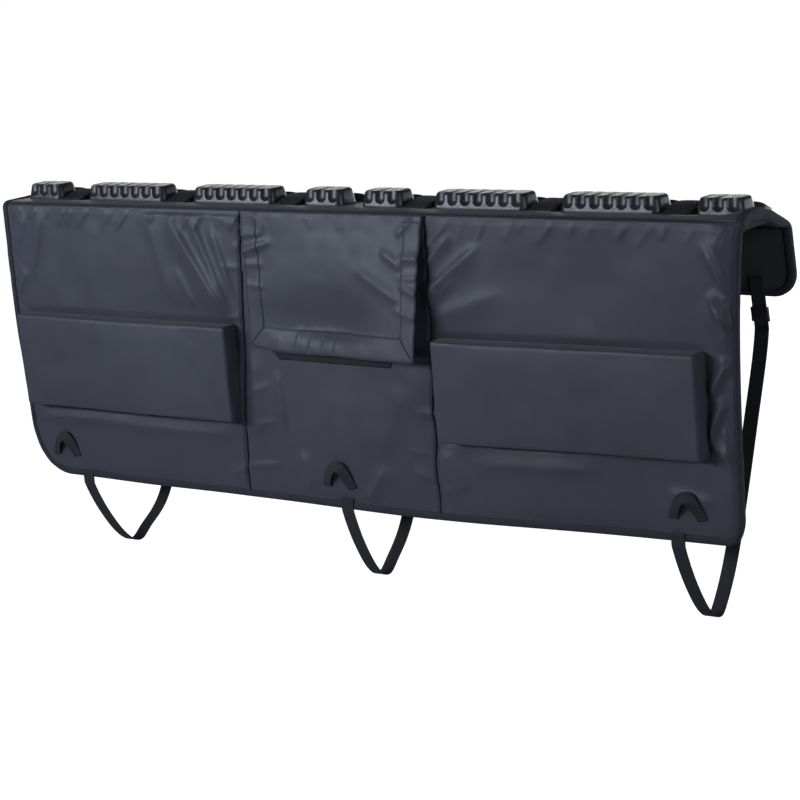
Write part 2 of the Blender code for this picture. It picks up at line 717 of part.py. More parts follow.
def rounded_box(name, size, rounding, segments, open_back=False):
    """A box with its back on y = 0 and its front at -Y, rounded except at the back."""
    width, depth, height = size
    box = bmesh.new()
    bmesh.ops.create_cube(box, size=1.0)
    for vert in box.verts:
        vert.co = Vector((vert.co.x * width, (vert.co.y - 0.5) * depth, vert.co.z * height))
    back = [face for face in box.faces if face.normal.y > 0.5]
    back_edges = set(back[0].edges)
    edges = [edge for edge in box.edges if edge not in back_edges]
    bmesh.ops.bevel(box, geom=edges, offset=rounding, segments=segments, profile=0.5, affect="EDGES")
    if open_back:
        back = [face for face in box.faces if face.normal.y > 0.9]
        bmesh.ops.delete(box, geom=back, context="FACES")
    mesh = bpy.data.meshes.new(name)
    box.to_mesh(mesh)
    box.free()
    return mesh


def impact_pad(side, left, right):
    """A sewn cover, open at the panel, over a foam block."""
    place = ((left + right) / 2, -CLEARANCE, -IMPACT_TOP - IMPACT_HEIGHT / 2)
    length = right - left
    size = (length, IMPACT_DEPTH, IMPACT_HEIGHT)
    mesh = rounded_box("impact_cover", size, IMPACT_EDGE, 2, open_back=True)
    cover = add_part("impact_pad_cover_" + side, mesh, TARPAULIN, FRAME, place)
    shell = cover.modifiers.new("cloth", "SOLIDIFY")
    shell.thickness = FABRIC
    shell.offset = -1
    shell.use_even_offset = True
    skin = FABRIC + CLEARANCE
    inner = (length - 2 * skin, IMPACT_DEPTH - skin, IMPACT_HEIGHT - 2 * skin)
    foam = rounded_box("impact_foam", inner, IMPACT_EDGE, 2)
    add_part("impact_pad_foam_" + side, foam, FOAM_GREY, FRAME, place)


def block_length(flutes):
    return (flutes - 1) * FLUTE_PITCH + 2 * FLUTE_END


def bike_gap():
    """The width of each bike place: what the blocks of one half leave, in equal parts."""
    lengths = sum(block_length(count) for count in HALF_ROW)
    return (HALF_LENGTH - END_MARGIN - CENTRE_GAP / 2 - lengths) / (len(HALF_ROW) - 1)


def block_row():
    """The blocks from left to right, as (x, flutes)."""
    right_half = []
    start = CENTRE_GAP / 2
    for count in HALF_ROW:
        length = block_length(count)
        right_half.append((start + length / 2, count))
        start += length + bike_gap()
    left_half = [(-x, count) for x, count in reversed(right_half)]
    return left_half + right_half


def block_core(flutes):
    """A bumper block before its flutes are cut: base on z = 0, fluted face at -Y."""
    half_length = block_length(flutes) / 2
    core = bmesh.new()
    bmesh.ops.create_cube(core, size=2.0)
    for vert in core.verts:
        top = vert.co.z > 0
        slope = BLOCK_SLOPE if top else 0.0
        vert.co = Vector((vert.co.x * (half_length - slope), vert.co.y * (BLOCK_DEPTH / 2 - slope),
                          BLOCK_HEIGHT if top else 0.0))
    upright = [edge for edge in core.edges
               if abs(edge.verts[0].co.z - edge.verts[1].co.z) > BLOCK_HEIGHT / 2]
    bmesh.ops.bevel(core, geom=upright, offset=BLOCK_CORNER, segments=3, profile=0.5, affect="EDGES")
    crown = max(core.faces, key=lambda face: face.calc_center_median().z)
    rim = list(crown.edges)
    bmesh.ops.bevel(core, geom=rim, offset=BLOCK_ROUND, segments=2, profile=0.5, affect="EDGES")
    mesh = bpy.data.meshes.new("block_core")
    core.to_mesh(mesh)
    core.free()
    return mesh


def flute_places(flutes):
    return [(index - (flutes - 1) / 2) * FLUTE_PITCH for index in range(flutes)]


def flute_cutter(flutes):
    """Upright round-ended bars, one for each flute, set into the leaning front face."""
    bars = bmesh.new()
    lean = math.atan2(BLOCK_SLOPE, BLOCK_HEIGHT)
    for x in flute_places(flutes):
        made = bmesh.ops.create_uvsphere(bars, u_segments=10, v_segments=6, radius=FLUTE_RADIUS)
        for vert in made["verts"]:
            raise_by = BLOCK_HEIGHT * 1.5 if vert.co.z > 0.0001 else 0.0
            height = vert.co.z + raise_by
            vert.co = Vector((vert.co.x + x, vert.co.y + height * math.tan(lean), height))
        bmesh.ops.translate(bars, verts=made["verts"], vec=(
            0, -BLOCK_DEPTH / 2 - FLUTE_RADIUS + FLUTE_DEPTH, FLUTE_FLOOR + FLUTE_RADIUS))
    mesh = bpy.data.meshes.new("flute_bars")
    bars.to_mesh(mesh)
    bars.free()
    return mesh


def wave_cutter(flutes):
    """Level round bars over the top, which leave a wave between the flutes."""
    bars = bmesh.new()
    for x in flute_places(flutes):
        made = bmesh.ops.create_cone(bars, cap_ends=True, segments=16, radius1=WAVE_RADIUS,
                                     radius2=WAVE_RADIUS, depth=BLOCK_DEPTH * 1.5)
        for vert in made["verts"]:
            across, up, along = vert.co
            vert.co = Vector((across + x, along, up + BLOCK_HEIGHT + WAVE_RADIUS - WAVE_DEPTH))
    bmesh.ops.recalc_face_normals(bars, faces=bars.faces)
    mesh = bpy.data.meshes.new("wave_bars")
    bars.to_mesh(mesh)
    bars.free()
    return mesh


def block_mesh(label, flutes):
    """The finished block of one size, shared by all blocks of that size."""
    block = bpy.data.objects.new(label + "_pattern", block_core(flutes))
    CUTTERS.objects.link(block)
    for kind, mesh in (("flutes", flute_cutter(flutes)), ("waves", wave_cutter(flutes))):
        cutter = bpy.data.objects.new(label + "_" + kind, mesh)
        cutter.hide_render = True
        cutter.display_type = "WIRE"
        CUTTERS.objects.link(cutter)
        cut = block.modifiers.new(kind, "BOOLEAN")
        cut.operation = "DIFFERENCE"
        cut.solver = "EXACT"
        cut.object = cutter
    evaluated = block.evaluated_get(bpy.context.evaluated_depsgraph_get())
    mesh = bpy.data.meshes.new_from_object(evaluated)
    bpy.data.objects.remove(block, do_unlink=True)
    shape = bmesh.new()
    shape.from_mesh(mesh)
    bmesh.ops.remove_doubles(shape, verts=shape.verts, dist=0.00005)
    bmesh.ops.dissolve_limit(shape, angle_limit=math.radians(1), verts=shape.verts, edges=shape.edges)
    shape.to_mesh(mesh)
    shape.free()
    mesh.shade_smooth()
    mesh.set_sharp_from_angle(angle=math.radians(40))
    return mesh


def bumper_blocks():
    patterns = {count: block_mesh(f"block_{count}", count) for count in (SMALL_FLUTES, LARGE_FLUTES)}
    front_y = CREST_Y - FRONT_ROW_SETBACK - BLOCK_DEPTH / 2
    rear_y = REAR_ROW_SETBACK + BLOCK_DEPTH / 2
    for number, (x, flutes) in enumerate(block_row(), start=1):
        mesh = patterns[flutes]
        add_part(f"front_block_{number}", mesh.copy(), RUBBER, FRAME, (x, front_y, CLEARANCE))
        lower = mesh.copy()
        lower.transform(Matrix.Diagonal((1, 1, REAR_BLOCK_HEIGHT / BLOCK_HEIGHT, 1)))
        add_part(f"rear_block_{number}", lower, RUBBER, REAR_SLOPE,
                 (x, rear_y, CLEARANCE), (0, 0, math.pi))


def frame_strap_section(steps=10):
    """A folded strap seen from its side: flat below, arched over the crest of the top."""
    rear = (CREST_Y + FRAME_STRAP_REAR * math.cos(SLOPE), -FRAME_STRAP_REAR * math.sin(SLOPE))
    under = offset_line([(FRAME_STRAP_FRONT, 0.0), (CREST_Y, 0.0), rear], -CLEARANCE)
    front_run = CREST_Y - FRAME_STRAP_FRONT
    total = front_run + FRAME_STRAP_REAR
    over = []
    for step in range(steps + 1):
        along = total * step / steps
        if along <= front_run:
            foot = Vector(under[0]).lerp(Vector(under[1]), along / front_run)
        else:
            foot = Vector(under[1]).lerp(Vector(under[2]), (along - front_run) / FRAME_STRAP_REAR)
        lean = SLOPE * along / total
        rise = FRAME_STRAP_THIN + FRAME_STRAP_RISE * math.sin(math.pi * step / steps) ** 1.5
        over.append((foot.x + rise * math.sin(lean), foot.y + rise * math.cos(lean)))
    return under + list(reversed(over))


def frame_straps():
    """One strap in each bike place; the narrow gap in the middle has none."""
    section = frame_strap_section()
    width = bike_gap() - 2 * FRAME_STRAP_SIDE_GAP
    row = block_row()
    middle = len(row) // 2 - 1
    places = [pair for index, pair in enumerate(zip(row, row[1:])) if index != middle]
    for number, ((left_x, left_flutes), (right_x, right_flutes)) in enumerate(places, start=1):
        x = (left_x + block_length(left_flutes) / 2 + right_x - block_length(right_flutes) / 2) / 2
        profile_part(f"frame_strap_{number}", section, WEBBING_BLACK, width, x)


def smooth_route(points, steps):
    """Points on a smooth curve through all but the first and last points, which set its ends' aim."""
    route = []
    for index in range(1, len(points) - 2):
        p0, p1, p2, p3 = (Vector(points[index + shift]) for shift in (-1, 0, 1, 2))
        for step in range(steps):
            t = step / steps
            route.append(0.5 * (2 * p1 + (p2 - p0) * t + (2 * p0 - 5 * p1 + 4 * p2 - p3) * t ** 2
                                + (3 * p1 - p0 - 3 * p2 + p3) * t ** 3))
    route.append(Vector(points[-2]))
    return [Vector(points[0])] + route + [Vector(points[-1])]


def flap_point(down, depth):
    """A point at a distance down the back flap and a depth inside its outer face."""
    y = REAR_Y + down * math.sin(FLAP_LEAN) - depth * math.cos(FLAP_LEAN)
    z = -REAR_FALL - down * math.cos(FLAP_LEAN) - depth * math.sin(FLAP_LEAN)
    return y, z


def lower_strap(side, front_x, low_shift, mid_shift, rear_shift, hang):
    """Webbing from the front panel's hem, under the tailgate and up to the back flap's lining."""
    low_x, mid_x, rear_x = (front_x + shift for shift in (low_shift, mid_shift, rear_shift))
    low_z = -FRONT_DROP - hang
    front_y = -WEBBING_STAND_OFF - WEBBING / 2
    rear_depth = BACK_STACK + 2 * CLEARANCE + TAPE + WEBBING / 2
    top_y, top_z = flap_point(FLAP_DROP - REAR_TAB, rear_depth)
    hang_y, hang_z = flap_point(FLAP_DROP + KEEPER_DROP + KEEPER_HEIGHT, rear_depth)
    low_y = hang_y * 0.42
    hem = hem_height(front_x)
    points = [
        (front_x, front_y, hem + FRONT_TAB),
        (front_x, front_y, hem - STRAP_HEM_RUN),
        (front_x + low_shift * 0.3, low_y * 0.22, -FRONT_DROP - hang * 0.44),
        (front_x + low_shift * 0.7, low_y * 0.62, -FRONT_DROP - hang * 0.84),
        (low_x, low_y, low_z),
        (low_x * 0.8 + mid_x * 0.2, low_y + STRAP_TURN, low_z + STRAP_TURN),
        (mid_x, hang_y * 0.68, -FRONT_DROP - KEEPER_DROP),
        ((mid_x + rear_x) / 2, hang_y * 0.90, (hang_z - FRONT_DROP) / 2),
        (rear_x, hang_y, hang_z),
        (rear_x, top_y, top_z),
    ]
    route = smooth_route(points, 4)
    ribbon = bmesh.new()
    verts = [ribbon.verts.new(point - Vector((WEBBING_WIDTH / 2, 0, 0))) for point in route]
    edges = [ribbon.edges.new(pair) for pair in zip(verts, verts[1:])]
    made = bmesh.ops.extrude_edge_only(ribbon, edges=edges)
    moved = [item for item in made["geom"] if isinstance(item, bmesh.types.BMVert)]
    bmesh.ops.translate(ribbon, verts=moved, vec=(WEBBING_WIDTH, 0, 0))
    bmesh.ops.recalc_face_normals(ribbon, faces=ribbon.faces)
    mesh = bpy.data.meshes.new("lower_strap")
    ribbon.to_mesh(mesh)
    ribbon.free()
    strap = add_part("lower_strap_" + side, mesh, WEBBING_BLACK, FRAME)
    shell = strap.modifiers.new("webbing", "SOLIDIFY")
    shell.thickness = WEBBING
    shell.offset = 0
    strap_keeper(side, rear_x, *flap_point(FLAP_DROP + KEEPER_DROP, rear_depth))


def strap_keeper(side, x, y, z):
    """The plastic slider that the webbing runs through below the back flap."""
    slot_width = WEBBING_WIDTH + 2 * CLEARANCE
    slot = WEBBING + 2 * CLEARANCE
    outer = rounded_rectangle(-KEEPER_WIDTH / 2, KEEPER_WIDTH / 2, -slot / 2 - KEEPER_WALL,
                              slot / 2 + KEEPER_WALL, 0.002, 2)
    inner = rounded_rectangle(-slot_width / 2, slot_width / 2, -slot / 2, slot / 2, 0.0004, 1)
    curve = flat_curve("keeper", [outer, inner], KEEPER_HEIGHT)
    add_part("strap_keeper_" + side, curve, TRIM_BLACK, FRAME, (x, y, z), (FLAP_LEAN, 0, 0))


def corner_loop(side, x):
    """A short webbing loop, folded to a point at the top and sewn down at its two feet."""
    foot = -FRONT_DROP + LOOP_ABOVE_HEM
    half = LOOP_SPAN / 2
    inner_half = half - LOOP_BAND
    outline = [(x - half, foot), (x - inner_half, foot)]
    outline += arc((x, foot + LOOP_RISE * 0.34), inner_half * 0.42, 160, 20, 4)
    outline += [(x + inner_half, foot), (x + half, foot)]
    outline += arc((x, foot + LOOP_RISE - 0.012), 0.012, 35, 145, 4)
    front_plate("corner_loop_" + side, [outline], -CLEARANCE - LOOP_THICKNESS, -CLEARANCE,
                WEBBING_BLACK, rounding=0.0008)


clear_scene()
PARTS = new_collection("tailgate_bike_pad")
CUTTERS = new_collection("cutters")
FRAME = new_empty("pad_frame", (0, -SEAT_MIDDLE_Y, SEAT_DEPTH))
REAR_SLOPE = new_empty("rear_slope", (0, CREST_Y, 0), (-SLOPE, 0, 0), FRAME)
BACK_HINGE = new_empty("back_hinge", (0, REAR_Y, -REAR_FALL), (FLAP_LEAN, 0, 0), FRAME)

top_layers()
front_layers()
front_binding()
piping()
back_layers()
cover_flap()
closure_strip()
for pad_side, pad_ends in IMPACT_PADS.items():
    impact_pad(pad_side, *pad_ends)
bumper_blocks()
frame_straps()
for strap_side, strap_route in LOWER_STRAPS.items():
    lower_strap(strap_side, *strap_route)
for loop_side, loop_x in CORNER_LOOPS.items():
    corner_loop(loop_side, loop_x)
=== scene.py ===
"""Looks of the tailgate bike pad: soft cloth, moulded rubber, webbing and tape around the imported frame.

Shapes are built in the pad's own coordinates, in metres: x along the tailgate, y back from the front
panel's face, z up from the top's face.  Each piece's location, SHIFT, puts them in the row frame.
"""
import math
from contextlib import contextmanager

import bmesh
import bpy
import numpy as np
from mathutils import Matrix, Vector

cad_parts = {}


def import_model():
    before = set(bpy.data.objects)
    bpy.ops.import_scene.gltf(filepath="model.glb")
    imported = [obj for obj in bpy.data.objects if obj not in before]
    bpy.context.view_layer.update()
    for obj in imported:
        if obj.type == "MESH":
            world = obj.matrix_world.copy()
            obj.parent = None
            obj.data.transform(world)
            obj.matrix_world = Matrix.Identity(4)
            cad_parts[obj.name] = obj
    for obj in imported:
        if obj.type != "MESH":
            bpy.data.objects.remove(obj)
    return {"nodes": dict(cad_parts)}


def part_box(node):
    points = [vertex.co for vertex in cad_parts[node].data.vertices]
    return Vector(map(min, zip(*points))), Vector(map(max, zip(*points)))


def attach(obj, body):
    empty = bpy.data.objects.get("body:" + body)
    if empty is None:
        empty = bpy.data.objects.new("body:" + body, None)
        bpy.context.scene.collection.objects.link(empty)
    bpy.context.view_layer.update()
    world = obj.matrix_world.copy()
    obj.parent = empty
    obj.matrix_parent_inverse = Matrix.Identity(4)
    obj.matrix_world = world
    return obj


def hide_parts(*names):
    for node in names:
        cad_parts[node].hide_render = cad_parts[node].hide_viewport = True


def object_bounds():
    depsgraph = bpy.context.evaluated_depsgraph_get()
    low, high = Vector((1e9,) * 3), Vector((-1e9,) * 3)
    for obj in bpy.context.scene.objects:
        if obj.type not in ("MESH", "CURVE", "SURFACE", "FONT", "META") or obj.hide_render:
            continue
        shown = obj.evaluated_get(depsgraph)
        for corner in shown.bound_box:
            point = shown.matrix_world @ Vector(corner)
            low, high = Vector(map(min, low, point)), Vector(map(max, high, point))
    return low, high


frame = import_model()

cad_low, cad_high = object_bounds()

# Where the pad's own coordinates start in the row frame
SHIFT = Vector((0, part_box("front_panel_centre")[0].y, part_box("top_panel")[1].z))

# Cover
HALF_LENGTH = 0.800
FRONT_DROP = 0.529
CREST_Y = 0.100
REAR_Y = 0.159
REAR_FALL = 0.0295
FLAP_DROP = 0.121
FLAP_LEAN = math.radians(6.2)
FRONT_CORNER_LEFT = 0.105
FRONT_CORNER_RIGHT = 0.052
BACK_CORNER = 0.042
FRONT_STACK = 0.0101
TOP_STACK = 0.0181
BACK_STACK = 0.0081
FRONT_BEND = 0.0045
CREST_BEND = 0.006
REAR_BEND = 0.011
SLOPE = math.atan2(REAR_FALL, REAR_Y - CREST_Y)
REAR_S = CREST_Y + math.hypot(REAR_Y - CREST_Y, REAR_FALL)
FLAP_END_S = REAR_S + FLAP_DROP
CLOTH = 0.0012
FRONT_FOAM = 0.0045
TAPE = 0.0012
TAPE_WIDTH = 0.013
TAPE_INSET = 0.0018
SEAM_LEFT = -0.226
SEAM_RIGHT = 0.186
SEAM_GAP = 0.0004
FRONT_TOP_EDGE = -0.0035
LINING_TOP_EDGE = -0.0185
PIPING_RADIUS = 0.0017

# Sizes of the meshes' facets
FRONT_ROWS = 170
CLOTH_STEP = 0.0031
FLAP_STEP = 0.0032
TAPE_STEP = 0.004

# Handle window and the flap in front of it
WINDOW_WIDTH = 0.220
WINDOW_HEIGHT = 0.130
WINDOW_TOP = 0.075
WINDOW_CORNER = 0.020
COVER_FLAP_LEFT = -0.205
COVER_FLAP_RIGHT = 0.190
COVER_FLAP_DROP = 0.250
COVER_FLAP_WIDTH = COVER_FLAP_RIGHT - COVER_FLAP_LEFT
COVER_FLAP_MIDDLE = (COVER_FLAP_LEFT + COVER_FLAP_RIGHT) / 2
COVER_FLAP_TILT_LEFT = math.radians(1.6)
COVER_FLAP_TILT_RIGHT = math.radians(11.0)
FLAP_HANG_Y = -0.005
FLAP_HANG_Z = -0.0022
FLAP_CORNER = 0.013
HEM_WIDTH = 0.036
BOTTOM_HEM_WIDTH = 0.042
HEM_CLOTH = 0.0008
CLOSURE_LENGTH = 0.264
CLOSURE_WIDTH = 0.036
CLOSURE_SHOWS = 0.018
CLOSURE_FROM_MIDDLE = 0.0215

# Impact pads
IMPACT_LEFT = (-0.760, -0.247)
IMPACT_RIGHT = (0.207, 0.722)
IMPACT_TOP = 0.210
IMPACT_HEIGHT = 0.174
IMPACT_DEPTH = 0.036
PAD_EDGE = 0.0042
PAD_STEP = 0.0075

# Bumper blocks
FLUTE_PITCH = 0.02614
FLUTE_END = 0.0177
HALF_ROW = (3, 7, 7, 3)
CENTRE_GAP = 0.0416
END_MARGIN = 0.0228
BLOCK_HEIGHT = 0.027
REAR_BLOCK_HEIGHT = 0.0185
BLOCK_DEPTH = 0.054
BLOCK_SLOPE = 0.0045
BLOCK_CORNER = 0.0140
BLOCK_ROUND = 0.0050
FRONT_ROW_SETBACK = 0.001
REAR_ROW_SETBACK = 0.004
FLUTE_RADIUS = 0.0134
FLUTE_DEPTH = 0.0078
FLUTE_FLOOR = 0.0030
FLUTE_END_SHARE = 0.80
WAVE_RADIUS = 0.0300
WAVE_DEPTH = 0.0010
BLOCK_EDGE = 0.0007
CLEARANCE = 0.0003

# Frame straps between the blocks
FRAME_STRAP_SIDE_GAP = 0.0078
FRAME_STRAP_FRONT = 0.036
FRAME_STRAP_REAR = 0.046
FRAME_STRAP_THIN = 0.0030
FRAME_STRAP_RISE = 0.0110

# Lower straps, keepers and corner loops
WEBBING_WIDTH = 0.027
WEBBING = 0.0020
FRONT_TAB = 0.018
REAR_TAB = 0.034
KEEPER_HEIGHT = 0.024
KEEPER_WALL = 0.0024
KEEPER_DROP = 0.030
STRAP_TURN = 0.020
STRAP_HEM_RUN = 0.004
STRAP_STAND = 0.0015

# Each lower strap's front x, its steps in x at the lowest point, on the way up and at the back, and its drop
LOWER_STRAPS = {
    "left": (-0.648, 0.031, 0.088, 0.143, 0.131),
    "centre": (-0.026, 0.006, 0.044, 0.086, 0.139),
    "right": (0.652, 0.012, 0.032, 0.078, 0.141),
}
LOOP_SPAN = 0.082
LOOP_RISE = 0.052
LOOP_ABOVE_HEM = 0.040
LOOP_BAND = 0.0185
LOOP_THICKNESS = 0.0012
LOOP_STEP = 0.0025
CORNER_LOOPS = {"left": -0.697, "centre": -0.037, "right": 0.675}

# Camera, fitted to the photograph: 800 pixels square, 2787 pixels of focal length
CAMERA_PLACE = Vector((2.97900, -3.68675, 0.67828))
CAMERA_RIGHT = Vector((0.79711, 0.59804, -0.08342))
CAMERA_UP = Vector((-0.06129, 0.21757, 0.97412))
CAMERA_LENS = 125.415
SENSOR = 36.0

# Floor and surroundings
FLOOR_SHADE = 0.55
FLOOR_GLOW = 0.93
FLOOR_SIZE = 60
WORLD_LEVEL = 0.15


# Smooth random fields

def smoothstep(value, start, end):
    """0 before start, 1 past end, and a smooth rise between; start may lie past end."""
    t = np.clip((np.asarray(value, float) - start) / (end - start), 0, 1)
    return t * t * (3 - 2 * t)


def two_noises(u, v, seed, broad, fine):
    """Broad and fine noise added; each is a height and a cell."""
    return broad[0] * value_noise(u, v, broad[1], seed) + fine[0] * value_noise(u, v, fine[1], seed + 1)


def value_noise(u, v, cell, seed):
    """Smooth noise from -1 to 1 over a plane, with one random value at each corner of a cell."""
    u, v = np.broadcast_arrays(np.asarray(u, float) / cell + 500.0, np.asarray(v, float) / cell + 500.0)
    table = np.random.RandomState(seed).rand(256, 256) * 2 - 1
    iu, iv = np.floor(u).astype(int), np.floor(v).astype(int)
    fu, fv = u - iu, v - iv
    fu, fv = fu * fu * fu * (fu * (fu * 6 - 15) + 10), fv * fv * fv * (fv * (fv * 6 - 15) + 10)
    a = table[iu % 256, iv % 256]
    b = table[(iu + 1) % 256, iv % 256]
    c = table[iu % 256, (iv + 1) % 256]
    d = table[(iu + 1) % 256, (iv + 1) % 256]
    return (a * (1 - fu) + b * fu) * (1 - fv) + (c * (1 - fu) + d * fu) * fv


def fold(x, z, start, end, width, height, skew=0.0):
    """A ridge from start to end that fades at both ends; skew makes its left-hand flank the steeper."""
    along = np.array(end, float) - np.array(start, float)
    length = math.hypot(*along)
    along /= length
    dx, dz = x - start[0], z - start[1]
    t = (dx * along[0] + dz * along[1]) / length
    across = (dx * -along[1] + dz * along[0]) / width
    across = across / np.where(across > 0, 1 - 0.6 * skew, 1 + 0.6 * skew)
    taper = smoothstep(t, -0.08, 0.20) * (1 - smoothstep(t, 0.68, 1.05))
    return height * taper * np.exp(-(across * across + 0.04) ** 0.75)


# The cover as one bent surface: x along it, s round its profile from the front hem to the back hem

def corner_bend(y, z, dy, dz, s, s_corner, corner, before, after, reach):
    """Rounds one corner of the profile with a curve between two tangent points."""
    t = np.clip((s - s_corner + reach) / (2 * reach), 0, 1)
    near = np.abs(s - s_corner) < reach
    tangent = []
    for item, middle, into, out_of in zip((y, z), corner, before, after):
        start, end = middle - into * reach, middle + out_of * reach
        curve = (1 - t) ** 2 * start + 2 * t * (1 - t) * middle + t * t * end
        item[near] = curve[near]
        tangent.append((1 - t) * (middle - start) + t * (end - middle))
    for item, part in zip((dy, dz), tangent):
        item[near] = (part / np.hypot(*tangent))[near]


def profile(x, s):
    """Point and outward normal of the cover's outer face, as arrays y, z, normal y, normal z."""
    x, s = np.broadcast_arrays(np.asarray(x, float), np.asarray(s, float))
    up, level = (0.0, 1.0), (1.0, 0.0)
    down = (math.cos(SLOPE), -math.sin(SLOPE))
    flap = (math.sin(FLAP_LEAN), -math.cos(FLAP_LEAN))
    front_bend = FRONT_BEND + 0.021 * smoothstep(x, 0.715, 0.795) + 0.010 * smoothstep(-x, 0.74, 0.80)
    bends = ((0.0, (0.0, 0.0), up, level, front_bend),
             (CREST_Y, (CREST_Y, 0.0), level, down, np.full_like(s, CREST_BEND)),
             (REAR_S, (REAR_Y, -REAR_FALL), down, flap, np.full_like(s, REAR_BEND)))
    y, z = np.zeros_like(s), s.copy()
    dy, dz = np.zeros_like(s), np.ones_like(s)
    for s_corner, corner, before, after, reach in bends:
        past = s > s_corner
        y = np.where(past, corner[0] + (s - s_corner) * after[0], y)
        z = np.where(past, corner[1] + (s - s_corner) * after[1], z)
        dy, dz = np.where(past, after[0], dy), np.where(past, after[1], dz)
    for bend in bends:
        corner_bend(y, z, dy, dz, s, *bend)
    return y, z, -dz, dy


def hem_sag(x):
    """How far the front hem hangs below or above its mean line."""
    low = 0.0085 * np.exp(-((x - 0.15) / 0.30) ** 2)
    return 0.004 - low + 0.004 * smoothstep(-x, 0.45, 0.70)


def seam_sway(x, s):
    """How far the upright seams wander sideways, fading out beside them."""
    down = np.clip(-s / 0.39, 0, 1.25)
    left = (0.014 - 0.031 * down) * np.exp(-((x - SEAM_LEFT) / 0.050) ** 2)
    right = (0.006 - 0.014 * down + 0.0018 * np.sin(s * 61)) * np.exp(-((x - SEAM_RIGHT) / 0.030) ** 2)
    return left + right


def hang(x, s, sway=1.0):
    """Moves points of the straight front panel to where the hanging cloth has them."""
    x, s = np.broadcast_arrays(np.asarray(x, float), np.asarray(s, float))
    drop = np.clip(-s / FRONT_DROP, 0, 1)
    left = 0.017 * smoothstep(drop, 0.30, 0.95) * np.clip((-x - 0.66) / 0.14, 0, 1) ** 2
    right = 0.030 * (1 - np.exp(-drop * FRONT_DROP / 0.20)) * np.clip((x - 0.70) / 0.10, 0, 1) ** 2
    return x + left - right + sway * seam_sway(x, s) * (s < 0), s + hem_sag(x) * drop


def top_lift(x, s):
    """The cover's free right end curls up over its first few centimetres."""
    over = smoothstep(x, 0.725, 0.80) * smoothstep(s, -0.012, 0.040) * (1 - smoothstep(s, 0.055, 0.105))
    return 0.0115 * over


def cover_point(x, s, out):
    """A point of the cover, a distance out from its outer face."""
    hung_x, hung_s = hang(x, s)
    y, z, ny, nz = profile(hung_x, hung_s)
    z = z + top_lift(hung_x, hung_s)
    return np.stack([hung_x, y + ny * out, z + nz * out], -1)


def rim_distance(x, s):
    """How far inside the cover's edge a point lies."""
    side = HALF_LENGTH - np.abs(x)
    left = (x < 0) & (x < -HALF_LENGTH + FRONT_CORNER_LEFT) & (s < -FRONT_DROP + FRONT_CORNER_LEFT)
    right = (x > HALF_LENGTH - FRONT_CORNER_RIGHT) & (s < -FRONT_DROP + FRONT_CORNER_RIGHT)
    best = np.minimum(side, np.minimum(s + FRONT_DROP, FLAP_END_S - s))
    for inside, radius in ((left, FRONT_CORNER_LEFT), (right, FRONT_CORNER_RIGHT)):
        best = np.where(inside, radius - np.hypot(side - radius, s + FRONT_DROP - radius), best)
    return best


def impact_distance(x, s):
    """How far outside the nearer impact pad's foot a point lies; below 0 it is under the pad."""
    far = np.full(np.shape(x), 1.0)
    for low, high in (IMPACT_LEFT, IMPACT_RIGHT):
        dx = np.maximum(low - x, x - high)
        ds = np.maximum(-IMPACT_TOP - IMPACT_HEIGHT - s, s + IMPACT_TOP)
        outside = np.hypot(np.maximum(dx, 0), np.maximum(ds, 0)) + np.minimum(np.maximum(dx, ds), 0)
        far = np.minimum(far, outside)
    return far


def seam_puckers(x, s, seam, side, count, seed):
    """Short folds that run away from an upright seam on one side of it."""
    random = np.random.RandomState(seed)
    height = np.zeros(np.shape(x))
    for index in range(count):
        at = -0.018 - (FRONT_DROP - 0.05) * (index + random.uniform(0.1, 0.9)) / count
        reach = random.uniform(0.030, 0.075)
        rise = random.uniform(0.2, 0.9) if side > 0 else random.uniform(-0.5, 0.4)
        end = (seam + side * reach, at + rise * reach)
        start = (seam - side * 0.008, at)
        height += fold(x, s, start, end, random.uniform(0.0055, 0.0095), random.uniform(0.0010, 0.0026), 0.4)
    return height


def top_puckers(x, s, count, seed):
    """Short slanted folds just below the seam along the top."""
    random = np.random.RandomState(seed)
    height = np.zeros(np.shape(x))
    for index in range(count):
        at = -HALF_LENGTH + 2 * HALF_LENGTH * (index + random.uniform(0.1, 0.9)) / count
        reach = random.uniform(0.020, 0.040)
        size = random.uniform(0.0012, 0.0034) if at < -0.2 else random.uniform(0.0006, 0.0018)
        end = (at - random.uniform(0.3, 1.2) * reach, -0.010 - reach)
        height += fold(x, s, (at, -0.008), end, random.uniform(0.0045, 0.0075), size, 0.4)
    return height


